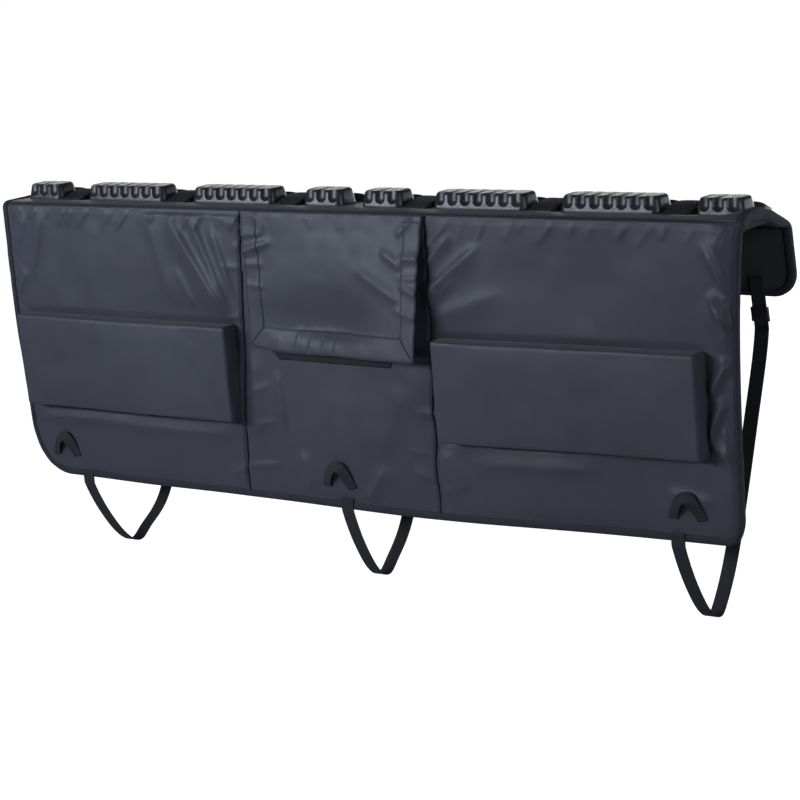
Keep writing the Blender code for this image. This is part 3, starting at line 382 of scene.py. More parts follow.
# Long folds of the front cloth: start, end, width, height, skew
LONG_FOLDS = (
    ((-0.376, -0.018), (-0.246, -0.212), 0.017, 0.0118, 0.8),
    ((-0.326, -0.016), (-0.252, -0.190), 0.013, 0.0086, 0.8),
    ((-0.284, -0.030), (-0.243, -0.160), 0.010, 0.0062, 0.7),
    ((-0.430, -0.016), (-0.385, -0.190), 0.020, 0.0050, -0.4),
    ((-0.372, -0.110), (-0.330, -0.190), 0.009, 0.0034, 0.5),
    ((-0.694, -0.014), (-0.742, -0.150), 0.014, 0.0058, 0.5),
    ((-0.740, -0.020), (-0.790, -0.120), 0.015, 0.0042, 0.5),
    ((-0.750, -0.130), (-0.794, -0.185), 0.014, 0.0034, 0.4),
    ((-0.560, -0.030), (-0.600, -0.160), 0.030, 0.0030, 0.2),
    ((0.184, -0.086), (0.250, -0.032), 0.010, 0.0068, 0.6),
    ((0.188, -0.058), (0.240, -0.018), 0.009, 0.0050, 0.5),
    ((0.184, -0.136), (0.312, -0.044), 0.013, 0.0075, 0.6),
    ((0.178, -0.158), (0.226, -0.104), 0.009, 0.0042, 0.5),
    ((0.188, -0.178), (0.350, -0.126), 0.020, 0.0042, 0.3),
    ((0.792, -0.132), (0.728, -0.034), 0.012, 0.0100, 0.7),
    ((0.794, -0.100), (0.742, -0.030), 0.009, 0.0072, 0.6),
    ((0.790, -0.176), (0.734, -0.118), 0.011, 0.0105, 0.7),
    ((0.770, -0.122), (0.792, -0.214), 0.020, 0.0105, 0.8),
    ((0.780, -0.224), (0.728, -0.286), 0.011, 0.0105, 0.6),
    ((0.768, -0.290), (0.716, -0.364), 0.011, 0.0108, 0.6),
    ((0.718, -0.350), (0.776, -0.388), 0.010, 0.0078, -0.5),
    ((0.760, -0.330), (0.782, -0.420), 0.008, 0.0044, 0.5),
    ((0.640, -0.446), (0.730, -0.462), 0.012, 0.0050, 0.4),
    ((-0.770, -0.416), (-0.500, -0.410), 0.014, 0.0070, -0.5),
    ((-0.560, -0.416), (-0.250, -0.416), 0.012, 0.0046, -0.4),
    ((0.200, -0.404), (0.240, -0.478), 0.018, 0.0046, 0.5),
    ((0.260, -0.424), (0.520, -0.420), 0.014, 0.0044, -0.4),
    ((-0.240, -0.262), (-0.226, -0.420), 0.010, 0.0062, 0.5),
    ((-0.206, -0.262), (-0.196, -0.420), 0.011, 0.0052, -0.4),
    ((-0.156, -0.292), (-0.148, -0.400), 0.009, 0.0042, 0.5),
    ((-0.232, -0.060), (-0.216, -0.110), 0.008, 0.0034, 0.4),
    ((-0.100, -0.500), (-0.120, -0.430), 0.013, 0.0046, 0.3),
    ((0.020, -0.512), (0.070, -0.440), 0.013, 0.0048, 0.3),
    ((0.120, -0.300), (0.060, -0.430), 0.030, 0.0036, 0.2),
)

# Puckers beside the upright seams: seam, side, count, seed
SEAM_PUCKERS = (
    (SEAM_LEFT, -1, 6, 21),
    (SEAM_LEFT, 1, 7, 22),
    (SEAM_RIGHT, 1, 7, 23),
    (SEAM_RIGHT, -1, 7, 24),
)


def front_relief(x, s):
    """How far the front cloth stands out from its flat plane."""
    rim = rim_distance(x, s)
    seam = np.minimum(np.abs(x - SEAM_LEFT), np.abs(x - SEAM_RIGHT))
    pillow = 0.0040 * (1 - np.exp(-rim / 0.022)) * (1 - np.exp(-seam / 0.018))
    height = pillow + two_noises(x, s, 3, (0.0022, 0.13), (0.0010, 0.05))
    for start, end, width, size, skew in LONG_FOLDS:
        height = height + fold(x, s, start, end, width, size, skew)
    height = height + top_puckers(x, s, 46, 11)
    for seam_x, side, count, seed in SEAM_PUCKERS:
        height = height + seam_puckers(x, s, seam_x, side, count, seed)
    ripple = 0.0009 * np.sin(2 * math.pi * (x + s) / 0.023 + 3 * value_noise(x, s, 0.05, 5))
    height = height + ripple * np.exp(-((rim - 0.019) / 0.010) ** 2)
    height = np.maximum(height, -0.0002) * (0.20 + 0.80 * smoothstep(rim, 0.010, 0.030))
    height = height * smoothstep(impact_distance(x, s), -0.004, 0.014)
    under_flap = smoothstep(x, -0.206, -0.192) * (1 - smoothstep(x, 0.172, 0.186))
    height = height * (1 - 0.85 * under_flap * smoothstep(s, -0.250, -0.226))
    pressed = 0.014 + 0.0012 * value_noise(x, 0 * x, 0.08, 6)
    flat_share = 0.12 + 0.78 * smoothstep(x, -0.47, -0.39) * (1 - smoothstep(x, -0.22, -0.19))
    height = height * (1 - flat_share * (1 - smoothstep(-s, pressed - 0.005, pressed + 0.002)))
    groove = 0.0026 * np.exp(-(seam / 0.0035) ** 2)
    return height - groove


def top_relief(x, s):
    """How far the top's cloth stands out: a soft roll in front of the blocks, flat under them."""
    front = np.exp(-((s - 0.020) / 0.013) ** 2)
    roll = 0.0032 * front * (1 + 0.5 * value_noise(x, s * 0.3, 0.10, 31))
    small = 0.0009 * value_noise(x, s, 0.028, 32)
    clear = 1 - smoothstep(s, 0.036, 0.043) * (1 - smoothstep(s, 0.152, 0.160))
    end = smoothstep(HALF_LENGTH - np.abs(x), 0.006, 0.020)
    return (roll + small * front) * clear * end


def flap_relief(x, s):
    """How far the back flap's cloth stands out."""
    rim = rim_distance(x, s)
    pillow = 0.0016 * (1 - np.exp(-rim / 0.025))
    waves = two_noises(x, s, 41, (0.0014, 0.10), (0.0006, 0.04))
    return (pillow + waves) * smoothstep(rim, 0.004, 0.030) * smoothstep(s - REAR_S, 0.0, 0.030)


# Mesh tools

def grid_mesh(name, points, uv=None, wrap=False):
    """A mesh from rows of points; uv, in metres, follows the same rows."""
    points = np.asarray(points, float)
    rows, columns = points.shape[:2]
    index = np.arange(rows * columns).reshape(rows, columns)
    after = np.roll(index, -1, axis=1) if wrap else index[:, 1:]
    here = index if wrap else index[:, :-1]
    faces = np.stack([here[:-1], after[:-1], after[1:], here[1:]], -1).reshape(-1, 4)
    mesh = bpy.data.meshes.new(name)
    mesh.from_pydata(points.reshape(-1, 3).tolist(), [], faces.tolist())
    if uv is not None:
        flat = np.asarray(uv, float).reshape(-1, 2)
        layer = mesh.uv_layers.new(name="length")
        layer.data.foreach_set("uv", flat[faces.reshape(-1)].astype(np.float32).ravel())
    mesh.shade_smooth()
    return mesh


def add_piece(name, mesh, material, node=None, thickness=0.0, offset=-1.0):
    """An object on the body root; an offset of -1 puts its thickness behind its face, and 1 in front."""
    piece = bpy.data.objects.new(name, mesh)
    piece.location = SHIFT
    bpy.context.scene.collection.objects.link(piece)
    mesh.materials.append(material)
    if thickness:
        shell = piece.modifiers.new("thickness", "SOLIDIFY")
        shell.thickness = thickness
        shell.offset = offset
    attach(piece, "root")
    if node:
        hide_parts(node)
    return piece


def steps(low, high, size):
    return np.linspace(low, high, max(2, int(round(abs(high - low) / size)) + 1))


def arc_points(centre, radius, start, end, count):
    angles = np.radians(np.linspace(start, end, count))
    return [(centre[0] + radius * math.cos(a), centre[1] + radius * math.sin(a)) for a in angles]


def rounded_rectangle(centre, half_width, half_height, radius, count, first=0):
    """Points round a rectangle with round corners, from the corner that starts at the first angle."""
    points = []
    for start in range(first, first + 360, 90):
        aim = math.radians(start + 45)
        corner = (centre[0] + math.copysign(half_width - radius, math.cos(aim)),
                  centre[1] + math.copysign(half_height - radius, math.sin(aim)))
        points += arc_points(corner, radius, start, start + 90, count)
    return points


def line_lengths(points):
    """How far along a line each of its points lies."""
    return np.concatenate([[0], np.cumsum(np.linalg.norm(np.diff(points, axis=0), axis=1))])


def points_at(points, lengths, places):
    return np.stack([np.interp(places, lengths, points[:, axis]) for axis in range(points.shape[1])], -1)


def resample(points, size=None, count=None):
    """Points evenly spaced along a line, by about a size or by their count."""
    points = np.asarray(points, float)
    lengths = line_lengths(points)
    places = steps(0, lengths[-1], size) if size else np.linspace(0, lengths[-1], count)
    return points_at(points, lengths, places)


def unit(vectors):
    return vectors / np.linalg.norm(vectors, axis=1)[:, None]


def directions(line):
    """The line's direction at each of its points."""
    return unit(np.gradient(line, axis=0))


def left_of(along):
    return np.stack([-along[:, 1], along[:, 0]], -1)


@contextmanager
def edited(mesh):
    """Opens a mesh for bmesh operators and writes it back."""
    shape = bmesh.new()
    shape.from_mesh(mesh)
    yield shape
    shape.to_mesh(mesh)
    shape.free()


def mesh_from(shape, name):
    mesh = bpy.data.meshes.new(name)
    shape.to_mesh(mesh)
    shape.free()
    return mesh


def close_ends(mesh):
    with edited(mesh) as shape:
        bmesh.ops.holes_fill(shape, edges=[edge for edge in shape.edges if edge.is_boundary], sides=0)
        bmesh.ops.recalc_face_normals(shape, faces=shape.faces)


def add_band(name, rows, uv, material, node):
    """A closed piece from rings of points, one ring to a row."""
    mesh = grid_mesh(name, rows, uv, wrap=True)
    close_ends(mesh)
    return add_piece(name, mesh, material, node)


def soften_edges(piece, width, segments, angle):
    """Bevels the edges that are sharper than an angle in degrees."""
    soft = piece.modifiers.new("soft_edges", "BEVEL")
    soft.width = width
    soft.segments = segments
    soft.limit_method = "ANGLE"
    soft.angle_limit = math.radians(angle)
    soft.harden_normals = False


# Materials

WHITE = (1, 1, 1, 1)
COOL_GLOSS = (0.82, 0.88, 1.0, 1)


def add_node(tree, kind, inputs=None, **settings):
    """A shader node; each input, by its name or number, takes a value or another node's output."""
    node = tree.nodes.new(f"ShaderNode{kind}")
    for name, value in settings.items():
        setattr(node, name, value)
    for label, value in (inputs or {}).items():
        if isinstance(value, bpy.types.NodeSocket):
            tree.links.new(value, node.inputs[label])
        else:
            node.inputs[label].default_value = value
    return node


class Nodes:
    """Builds a Principled material with object or UV coordinates in metres."""

    def __init__(self, name, color, roughness, specular):
        self.material = bpy.data.materials.new(name)
        self.material.use_nodes = True
        self.tree = self.material.node_tree
        self.shader = self.tree.nodes["Principled BSDF"]
        self.set("Base Color", (*color, 1))
        self.set("Roughness", roughness)
        self.set("Specular IOR Level", specular)
        self.set("Specular Tint", COOL_GLOSS)
        self.normal = {}
        self.coordinates = self.tree.nodes.new("ShaderNodeTexCoord").outputs

    def set(self, label, value):
        self.shader.inputs[label].default_value = value

    def drive(self, label, output):
        self.tree.links.new(output, self.shader.inputs[label])

    def noise(self, scale, detail=3.0, source="Object", distortion=0.0):
        inputs = {"Scale": scale, "Detail": detail, "Distortion": distortion}
        inputs["Vector"] = self.coordinates[source]
        return add_node(self.tree, "TexNoise", inputs).outputs["Fac"]

    def wave(self, scale, direction, source):
        inputs = {"Scale": scale, "Vector": self.coordinates[source]}
        return add_node(self.tree, "TexWave", inputs, bands_direction=direction).outputs["Fac"]

    def weave(self, operation, across, along, source="Object"):
        """Two crossing waves, added or multiplied; each is a scale and a direction."""
        inputs = {0: self.wave(*across, source), 1: self.wave(*along, source)}
        return add_node(self.tree, "Math", inputs, operation=operation).outputs["Value"]

    def remap(self, value, low, high, to_low, to_high):
        inputs = {"Value": value, "From Min": low, "From Max": high, "To Min": to_low, "To Max": to_high}
        return add_node(self.tree, "MapRange", inputs).outputs["Result"]

    def tint(self, factor, first, second):
        inputs = {"Factor": factor, "A": (*first, 1), "B": (*second, 1)}
        self.drive("Base Color", add_node(self.tree, "Mix", inputs, data_type="RGBA").outputs["Result"])

    def rough(self, value, low, high):
        self.drive("Roughness", self.remap(value, 0.3, 0.7, low, high))

    def bump(self, value, strength, distance):
        """A bump on top of those before it."""
        inputs = {"Strength": strength, "Distance": distance, "Height": value, **self.normal}
        self.normal = {"Normal": add_node(self.tree, "Bump", inputs).outputs["Normal"]}
        self.drive("Normal", self.normal["Normal"])


TARPAULIN_LIGHT = (0.0325, 0.0365, 0.0545)
TARPAULIN_DARK = (0.0275, 0.0310, 0.0465)


def tarpaulin_material():
    """Coated cloth: a fine woven grid under a smooth coat, with broad changes of shade."""
    nodes = Nodes("tarpaulin", TARPAULIN_LIGHT, 0.52, 0.24)
    broad = nodes.noise(5.0, 3.0, distortion=0.4)
    nodes.tint(nodes.remap(broad, 0.35, 0.65, 0.0, 1.0), TARPAULIN_DARK, TARPAULIN_LIGHT)
    nodes.rough(nodes.noise(26.0, 4.0), 0.46, 0.58)
    nodes.bump(nodes.weave("ADD", (180.0, "X"), (180.0, "Z")), 0.06, 0.00012)
    nodes.bump(nodes.noise(420.0, 2.0), 0.10, 0.0002)
    nodes.bump(nodes.noise(48.0, 4.0, distortion=0.6), 0.10, 0.0010)
    nodes.set("Sheen Weight", 0.05)
    return nodes.material


def rubber_material():
    nodes = Nodes("moulded_rubber", (0.016, 0.017, 0.023), 0.32, 0.25)
    broad = nodes.remap(nodes.noise(30.0, 3.0), 0.4, 0.6, 0.0, 1.0)
    nodes.tint(broad, (0.013, 0.014, 0.019), (0.020, 0.021, 0.028))
    nodes.rough(nodes.noise(90.0, 4.0), 0.28, 0.38)
    nodes.bump(nodes.noise(900.0, 2.0), 0.06, 0.0002)
    nodes.bump(nodes.noise(60.0, 3.0), 0.10, 0.0006)
    return nodes.material


def webbing_material(name, color, rib_scale=310.0):
    """Woven strap: fine ribs along its length and a row of weft threads across it."""
    nodes = Nodes(name, color, 0.75, 0.28)
    weave = nodes.weave("MULTIPLY", (rib_scale, "X"), (rib_scale * 0.8, "Y"), "UV")
    nodes.tint(weave, color, tuple(channel * 1.6 for channel in color))
    nodes.rough(nodes.noise(200.0, 3.0, "UV"), 0.62, 0.85)
    nodes.bump(weave, 0.5, 0.0005)
    nodes.bump(nodes.noise(1500.0, 2.0, "UV"), 0.2, 0.0003)
    return nodes.material


def tape_material():
    nodes = Nodes("edge_tape", (0.018, 0.020, 0.030), 0.70, 0.16)
    grain = nodes.weave("MULTIPLY", (420.0, "X"), (420.0, "Y"), "UV")
    nodes.tint(nodes.noise(60.0, 3.0), (0.014, 0.016, 0.025), (0.024, 0.027, 0.040))
    nodes.rough(nodes.noise(120.0, 3.0), 0.60, 0.80)
    nodes.bump(grain, 0.25, 0.0003)
    nodes.bump(nodes.noise(90.0, 3.0), 0.2, 0.0008)
    return nodes.material


def lining_material():
    """Brushed lining: short dull fibres."""
    nodes = Nodes("brushed_lining", (0.027, 0.029, 0.036), 0.95, 0.10)
    nodes.tint(nodes.noise(700.0, 3.0), (0.022, 0.024, 0.031), (0.034, 0.036, 0.044))
    nodes.rough(nodes.noise(30.0, 3.0), 0.86, 0.98)
    nodes.bump(nodes.noise(900.0, 4.0), 0.6, 0.0006)
    nodes.bump(nodes.noise(14.0, 3.0), 0.25, 0.004)
    nodes.set("Sheen Weight", 0.06)
    nodes.set("Sheen Roughness", 0.6)
    return nodes.material


def foam_material():
    nodes = Nodes("closed_cell_foam", (0.030, 0.031, 0.035), 0.95, 0.2)
    cells = add_node(nodes.tree, "TexVoronoi", {"Scale": 900.0, "Vector": nodes.coordinates["Object"]})
    nodes.tint(nodes.noise(40.0, 3.0), (0.025, 0.026, 0.030), (0.038, 0.039, 0.043))
    nodes.bump(cells.outputs["Distance"], 0.6, 0.0006)
    return nodes.material


def thread_material():
    nodes = Nodes("stitching_thread", (0.036, 0.039, 0.052), 0.7, 0.3)
    nodes.tint(nodes.noise(800.0, 2.0), (0.029, 0.032, 0.044), (0.046, 0.049, 0.064))
    nodes.bump(nodes.wave(1400.0, "DIAGONAL", "Object"), 0.4, 0.0002)
    return nodes.material


def keeper_material():
    nodes = Nodes("strap_keeper_plastic", (0.012, 0.012, 0.015), 0.42, 0.4)
    nodes.tint(nodes.noise(50.0, 3.0), (0.010, 0.010, 0.013), (0.016, 0.016, 0.020))
    nodes.rough(nodes.noise(140.0, 3.0), 0.36, 0.52)
    nodes.bump(nodes.noise(1100.0, 2.0), 0.15, 0.0003)
    return nodes.material


def hook_material():
    """Hook-and-loop strip: rows of tiny hooks."""
    nodes = Nodes("hook_strip", (0.018, 0.020, 0.027), 0.85, 0.2)
    hooks = nodes.weave("MULTIPLY", (260.0, "X"), (260.0, "Z"))
    nodes.tint(hooks, (0.014, 0.016, 0.021), (0.036, 0.039, 0.050))
    nodes.bump(hooks, 0.8, 0.0008)
    return nodes.material


TARPAULIN = tarpaulin_material()
RUBBER = rubber_material()
WEBBING_FINISH = webbing_material("black_webbing", (0.0115, 0.0125, 0.0175))
# Frame straps: black webbing, with a colour darker than the lower straps' webbing that stands in for painted
# shade between the blocks.
FRAME_STRAP_SHADED_FINISH = webbing_material("frame_strap_webbing_painted_shade", (0.0070, 0.0078, 0.0115), 240.0)
TAPE_FINISH = tape_material()
LINING = lining_material()
FOAM = foam_material()
THREAD = thread_material()
KEEPER = keeper_material()
HOOKS = hook_material()


# Stitching

# Rings of one stitch: share of its length, share of its radius
STITCH_RINGS = ((-0.5, 0.25), (-0.32, 0.9), (0.0, 1.0), (0.32, 0.9), (0.5, 0.25))
STITCH_SIDES = 6


def stitch_mesh(name, lines, pitch=0.0046, length=0.0034, radius=0.00042):
    """Short raised threads along lines of points; each is a six-sided capsule sunk at both ends."""
    corners, faces = [], []
    angles = 2 * math.pi / STITCH_SIDES * np.arange(STITCH_SIDES)
    for line, normals in lines:
        lengths = line_lengths(line)
        for place in np.arange(pitch / 2, lengths[-1] - pitch / 2, pitch):
            here = points_at(line, lengths, place)
            along = points_at(line, lengths, place + 0.001) - here
            along /= np.linalg.norm(along)
            side = np.cross(along, points_at(normals, lengths, place))
            side /= np.linalg.norm(side)
            up = np.cross(side, along)
            base = len(corners)
            for share, size in STITCH_RINGS:
                middle = here + along * share * length + up * radius * (0.9 - 3.64 * share * share)
                corners += [middle + (side * math.cos(a) + up * math.sin(a)) * radius * size for a in angles]
            for ring in range(base, base + (len(STITCH_RINGS) - 1) * STITCH_SIDES, STITCH_SIDES):
                for corner in range(STITCH_SIDES):
                    a, b = ring + corner, ring + (corner + 1) % STITCH_SIDES
                    faces.append((a, b, b + STITCH_SIDES, a + STITCH_SIDES))
            faces.append(tuple(reversed(range(base, base + STITCH_SIDES))))
            faces.append(tuple(range(len(corners) - STITCH_SIDES, len(corners))))
    mesh = bpy.data.meshes.new(name)
    mesh.from_pydata([tuple(corner) for corner in corners], [], faces)
    mesh.shade_smooth()
    return mesh


def add_stitches(name, lines, *sizes):
    return add_piece(name, stitch_mesh(name, lines, *sizes), THREAD)


def cover_line(path, out_of):
    """A line on the cover from (x, s) points, with its normals; out_of gives its distance out."""
    x, s = resample(path, 0.006).T
    out = out_of(x, s)
    points = cover_point(x, s, out)
    return points, unit(cover_point(x, s, out + 0.01) - points)


# Cover cloth

def corner_inset(past, radius):
    """How far a round corner draws the edge in, a distance past the corner's start."""
    return radius - np.sqrt(radius ** 2 - np.clip(past, 0, radius) ** 2)


def front_sides(s):
    """Left and right edge of the straight front panel at each height."""
    side = HALF_LENGTH - TAPE_INSET
    left = -side + corner_inset(-FRONT_DROP + FRONT_CORNER_LEFT - s, FRONT_CORNER_LEFT)
    return left, side - corner_inset(-FRONT_DROP + FRONT_CORNER_RIGHT - s, FRONT_CORNER_RIGHT)


def back_sides(s):
    side = HALF_LENGTH - TAPE_INSET - corner_inset(s - FLAP_END_S + BACK_CORNER, BACK_CORNER)
    return -side, side


def spread(sides, s, share):
    """Grids of x and s, with x at each share of the way between two sides."""
    left, right = sides
    x = left[:, None] + (right - left)[:, None] * share[None, :]
    return x, np.repeat(s[:, None], len(share), axis=1)


def sheet_piece(name, node, x, s, points, finish=TARPAULIN, thickness=CLOTH,
                offset=-1.0, window=None):
    """One layer through a grid of points; window is how far the handle window's cut is grown."""
    mesh = grid_mesh(name, points, np.stack([x, s], -1))
    if window is not None:
        cut_window(mesh, window)
    return add_piece(name, mesh, finish, node, thickness, offset)


def front_cloth(name, node, low_x, high_x):
    """One side panel of the front; None stands for the cover's own edge."""
    s = np.linspace(-FRONT_DROP + TAPE_INSET, FRONT_TOP_EDGE, FRONT_ROWS)
    left, right = front_sides(s)
    left = left if low_x is None else np.full_like(s, low_x)
    right = right if high_x is None else np.full_like(s, high_x)
    width = (HALF_LENGTH if high_x is None else high_x) - (-HALF_LENGTH if low_x is None else low_x)
    x, s = spread((left, right), s, steps(0, width, CLOTH_STEP) / width)
    piece = sheet_piece(name, node, x, s, cover_point(x, s, front_relief(x, s)))


def front_cloths():
    front_cloth("front_cloth_left", "front_panel_left", None, SEAM_LEFT - SEAM_GAP)
    front_cloth("front_cloth_right", "front_panel_right", SEAM_RIGHT + SEAM_GAP, None)


def window_outline(grow):
    centre = (COVER_FLAP_MIDDLE, -WINDOW_TOP - WINDOW_HEIGHT / 2)
    half_width, half_height = WINDOW_WIDTH / 2 + grow, WINDOW_HEIGHT / 2 + grow
    return rounded_rectangle(centre, half_width, half_height, WINDOW_CORNER + grow, 7, first=180)


def cut_window(mesh, grow):
    """Takes the handle window, grown a little, out of a cloth."""
    with edited(mesh) as shape:
        inside = []
        for face in shape.faces:
            centre = face.calc_center_median()
            dx = abs(centre.x - COVER_FLAP_MIDDLE) - WINDOW_WIDTH / 2 + WINDOW_CORNER
            dz = abs(centre.z + WINDOW_TOP + WINDOW_HEIGHT / 2) - WINDOW_HEIGHT / 2 + WINDOW_CORNER
            if math.hypot(max(dx, 0), max(dz, 0)) < WINDOW_CORNER + grow:
                inside.append(face)
        bmesh.ops.delete(shape, geom=inside, context="FACES")


def centre_cloth():
    """The middle panel, with the handle window cut through it."""
    s = np.linspace(-FRONT_DROP + TAPE_INSET, FRONT_TOP_EDGE, FRONT_ROWS)
    x, s = np.meshgrid(steps(SEAM_LEFT + SEAM_GAP, SEAM_RIGHT - SEAM_GAP, CLOTH_STEP), s)
    points = cover_point(x, s, front_relief(x, s))
    piece = sheet_piece("front_cloth_centre", "front_panel_centre", x, s, points, window=0.004)


def window_rim():
    """Folded tape through the handle window, from the cloth in front to the lining behind."""
    section = ((0.0085, 0.0027), (0.0075, 0.0036), (0.003, 0.0041), (0.0004, 0.0033), (-0.0008, 0.0005),
               (-0.0008, -0.0080), (0.0004, -0.0107), (0.003, -0.0113), (0.0085, -0.0107))
    rows, uv = [], []
    for grow, out in section:
        outline = window_outline(grow)
        ring = resample(outline + outline[:1], TAPE_STEP)
        if rows:
            ring = resample(ring, count=len(rows[0]))
        rows.append(cover_point(ring[:, 0], ring[:, 1], np.full(len(ring), out)))
        uv.append(np.stack([np.full(len(ring), grow), np.arange(len(ring)) * TAPE_STEP], -1))
    mesh = grid_mesh("window_tape", np.array(rows), np.array(uv))
    add_piece("window_tape", mesh, TAPE_FINISH, "window_binding", TAPE, 1.0)


def top_cloth():
    x = steps(-HALF_LENGTH + TAPE_INSET, HALF_LENGTH - TAPE_INSET, 0.0060)
    x, s = np.meshgrid(x, steps(0.0030, REAR_S - 0.0008, 0.0036))
    piece = sheet_piece("top_cloth", "top_panel", x, s, cover_point(x, s, top_relief(x, s)))


def back_cloth():
    s = np.linspace(REAR_S + 0.0008, FLAP_END_S - TAPE_INSET, 36)
    x, s = spread(back_sides(s), s, np.linspace(0, 1, 300))
    piece = sheet_piece("back_flap_cloth", "back_flap", x, s, cover_point(x, s, flap_relief(x, s)))


def piping():
    """The cord along the seam between front and top, with a slight waver."""
    x = steps(-HALF_LENGTH + 0.006, HALF_LENGTH - 0.010, TAPE_STEP)
    centre = cover_point(x, np.zeros_like(x), 0.0006 + 0.0004 * value_noise(x, 0 * x, 0.03, 51))
    angles = np.linspace(0, 2 * math.pi, 9)[:-1]
    circle = PIPING_RADIUS * np.stack([0 * angles, np.cos(angles), np.sin(angles)], -1)
    add_band("seam_piping", centre[:, None, :] + circle[None, :, :], None, TAPE_FINISH, "top_piping")


# Edge tape

# Sections of the folded tape in front of the cover and behind it: share of the width, distance out
TAPE_FRONT = ((1.0, 0.0004), (0.98, 0.0014), (0.80, 0.0019), (0.5, 0.0022), (0.22, 0.0019), (0.07, 0.0006))
TAPE_BEHIND = ((0.07, 0.0004), (0.3, 0.0012), (0.6, 0.0014), (0.97, 0.0008), (1.0, 0.0))


def stack_depth(s):
    """Thickness of the cover's layers round its profile."""
    up = smoothstep(s, -0.022, 0.004)
    down = smoothstep(s, REAR_S - 0.050, REAR_S)
    return FRONT_STACK + (TOP_STACK - FRONT_STACK) * up * (1 - down) + (BACK_STACK - FRONT_STACK) * down


def edge_tape(name, path, node, seed):
    """Folded tape along the cover's edge: path runs round it, with the cover on its left-hand side."""
    path = resample(path, TAPE_STEP)
    inward = left_of(directions(path))
    distance = np.arange(len(path)) * TAPE_STEP
    waver = 0.0005 * value_noise(distance, 0 * distance, 0.02, seed)
    lift = 0.0003 * value_noise(distance, 0 * distance + 9.0, 0.012, seed + 1)
    depth = stack_depth(path[:, 1]) + 0.0006
    rows, across = [], []

    def add_row(inset, out, place):
        spot = path + inward * np.broadcast_to(inset, len(path))[:, None]
        rows.append(cover_point(spot[:, 0], spot[:, 1], out))
        across.append(place)

    for share, out in TAPE_FRONT:
        add_row(TAPE_WIDTH * share + waver, out + lift * min(1, share * 2), TAPE_WIDTH * (1 - share))
    for share in (0.12, 0.38, 0.62, 0.88):
        add_row(-0.0004, -depth * share, TAPE_WIDTH + 0.01 * share)
    for share, out in TAPE_BEHIND:
        add_row(TAPE_WIDTH * share + waver, -depth - out, TAPE_WIDTH * (1 + share) + 0.01)
    uv = np.stack(np.meshgrid(across, distance), -1)
    mesh = grid_mesh(name, np.array(rows).transpose(1, 0, 2), uv)
    add_piece(name, mesh, TAPE_FINISH, node, TAPE)


def front_edge_path(start, inset=0.0):
    left, right, bottom = -HALF_LENGTH + inset, HALF_LENGTH - inset, -FRONT_DROP + inset
    radius_left, radius_right = FRONT_CORNER_LEFT - inset, FRONT_CORNER_RIGHT - inset
    points = [(left, start)]
    points += arc_points((left + radius_left, bottom + radius_left), radius_left, 180, 270, 22)
    points += arc_points((right - radius_right, bottom + radius_right), radius_right, 270, 360, 14)
    return points + [(right, start)]


def back_edge_path(inset=0.0):
    side, end, radius = HALF_LENGTH - inset, FLAP_END_S - inset, BACK_CORNER - inset
    points = [(side, REAR_S)]
    points += arc_points((side - radius, end - radius), radius, 0, 90, 12)
    points += arc_points((radius - side, end - radius), radius, 90, 180, 12)
    return points + [(-side, REAR_S)]


def on_tape(x, s):
    return np.full(len(x), 0.0021)


def edge_tapes():
    edge_tape("front_edge_tape", front_edge_path(-0.002), "front_binding", 61)
    edge_tape("back_edge_tape", back_edge_path(), "back_binding", 63)
    edge_tape("top_end_tape_right", [(HALF_LENGTH, -0.002), (HALF_LENGTH, REAR_S)], "top_end_right", 65)
    edge_tape("top_end_tape_left", [(-HALF_LENGTH, REAR_S), (-HALF_LENGTH, -0.002)], "top_end_left", 67)
    inset = TAPE_WIDTH - 0.0022
    paths = [front_edge_path(-0.004, inset), back_edge_path(inset)]
    paths += [[(x, 0.004), (x, REAR_S)] for x in (HALF_LENGTH - inset, inset - HALF_LENGTH)]
    add_stitches("edge_tape_stitches", [cover_line(path, on_tape) for path in paths])


# Foam and lining

def inner_point(x, s, away):
    """A point inside the cover, a distance in from its lining's face."""
    return cover_point(x, s, -(stack_depth(s) + away))


def front_foam():
    """The foam behind the front cloth, cut to the hung cover's own outline."""
    s = np.linspace(-FRONT_DROP + TAPE_INSET + CLEARANCE, LINING_TOP_EDGE, 56)
    x, s = spread(front_sides(s), s, np.linspace(0, 1, 170))
    seam = np.minimum(np.abs(x - SEAM_LEFT), np.abs(x - SEAM_RIGHT))
    depth = CLOTH + CLEARANCE + 0.0028 * np.exp(-(seam / 0.012) ** 2)
    points = cover_point(x, s, -depth)
    sheet_piece("front_foam", "front_padding", x, s, points, FOAM, FRONT_FOAM, window=0.006)


def lining_piece(name, node, x, s, away, window=None):
    return sheet_piece(name, node, x, s, inner_point(x, s, away), LINING, CLOTH, 1.0, window)


def linings():
    s = np.linspace(-FRONT_DROP + TAPE_INSET, LINING_TOP_EDGE, 90)
    x, s = spread(front_sides(s), s, np.linspace(0, 1, 270))
    waves = two_noises(x, s, 71, (0.0010, 0.12), (0.0005, 0.04)) - 0.0008
    waves = waves * smoothstep(rim_distance(x, s), 0.012, 0.040)
    lining = lining_piece("front_lining_cloth", "front_lining", x, s, waves, 0.004)

    x = steps(-HALF_LENGTH + TAPE_INSET, HALF_LENGTH - TAPE_INSET, 0.006)
    x, s = np.meshgrid(x, np.linspace(0.0125, REAR_S - 0.004, 34))
    soft = 0.0006 * value_noise(x, s, 0.08, 73) - 0.0006
    soft = soft * smoothstep(HALF_LENGTH - np.abs(x), 0.014, 0.04)
    top = lining_piece("top_lining_cloth", "top_lining", x, s, soft)

    s = np.linspace(REAR_S + 0.004, FLAP_END_S - TAPE_INSET, 26)
    x, s = spread(back_sides(s), s, np.linspace(0, 1, 240))
    soft = 0.0005 * value_noise(x, s, 0.07, 74) - 0.0005
    soft = soft * smoothstep(rim_distance(x, s), 0.012, 0.03)
    back = lining_piece("back_lining_cloth", "back_lining", x, s, soft)


# Flap in front of the handle window

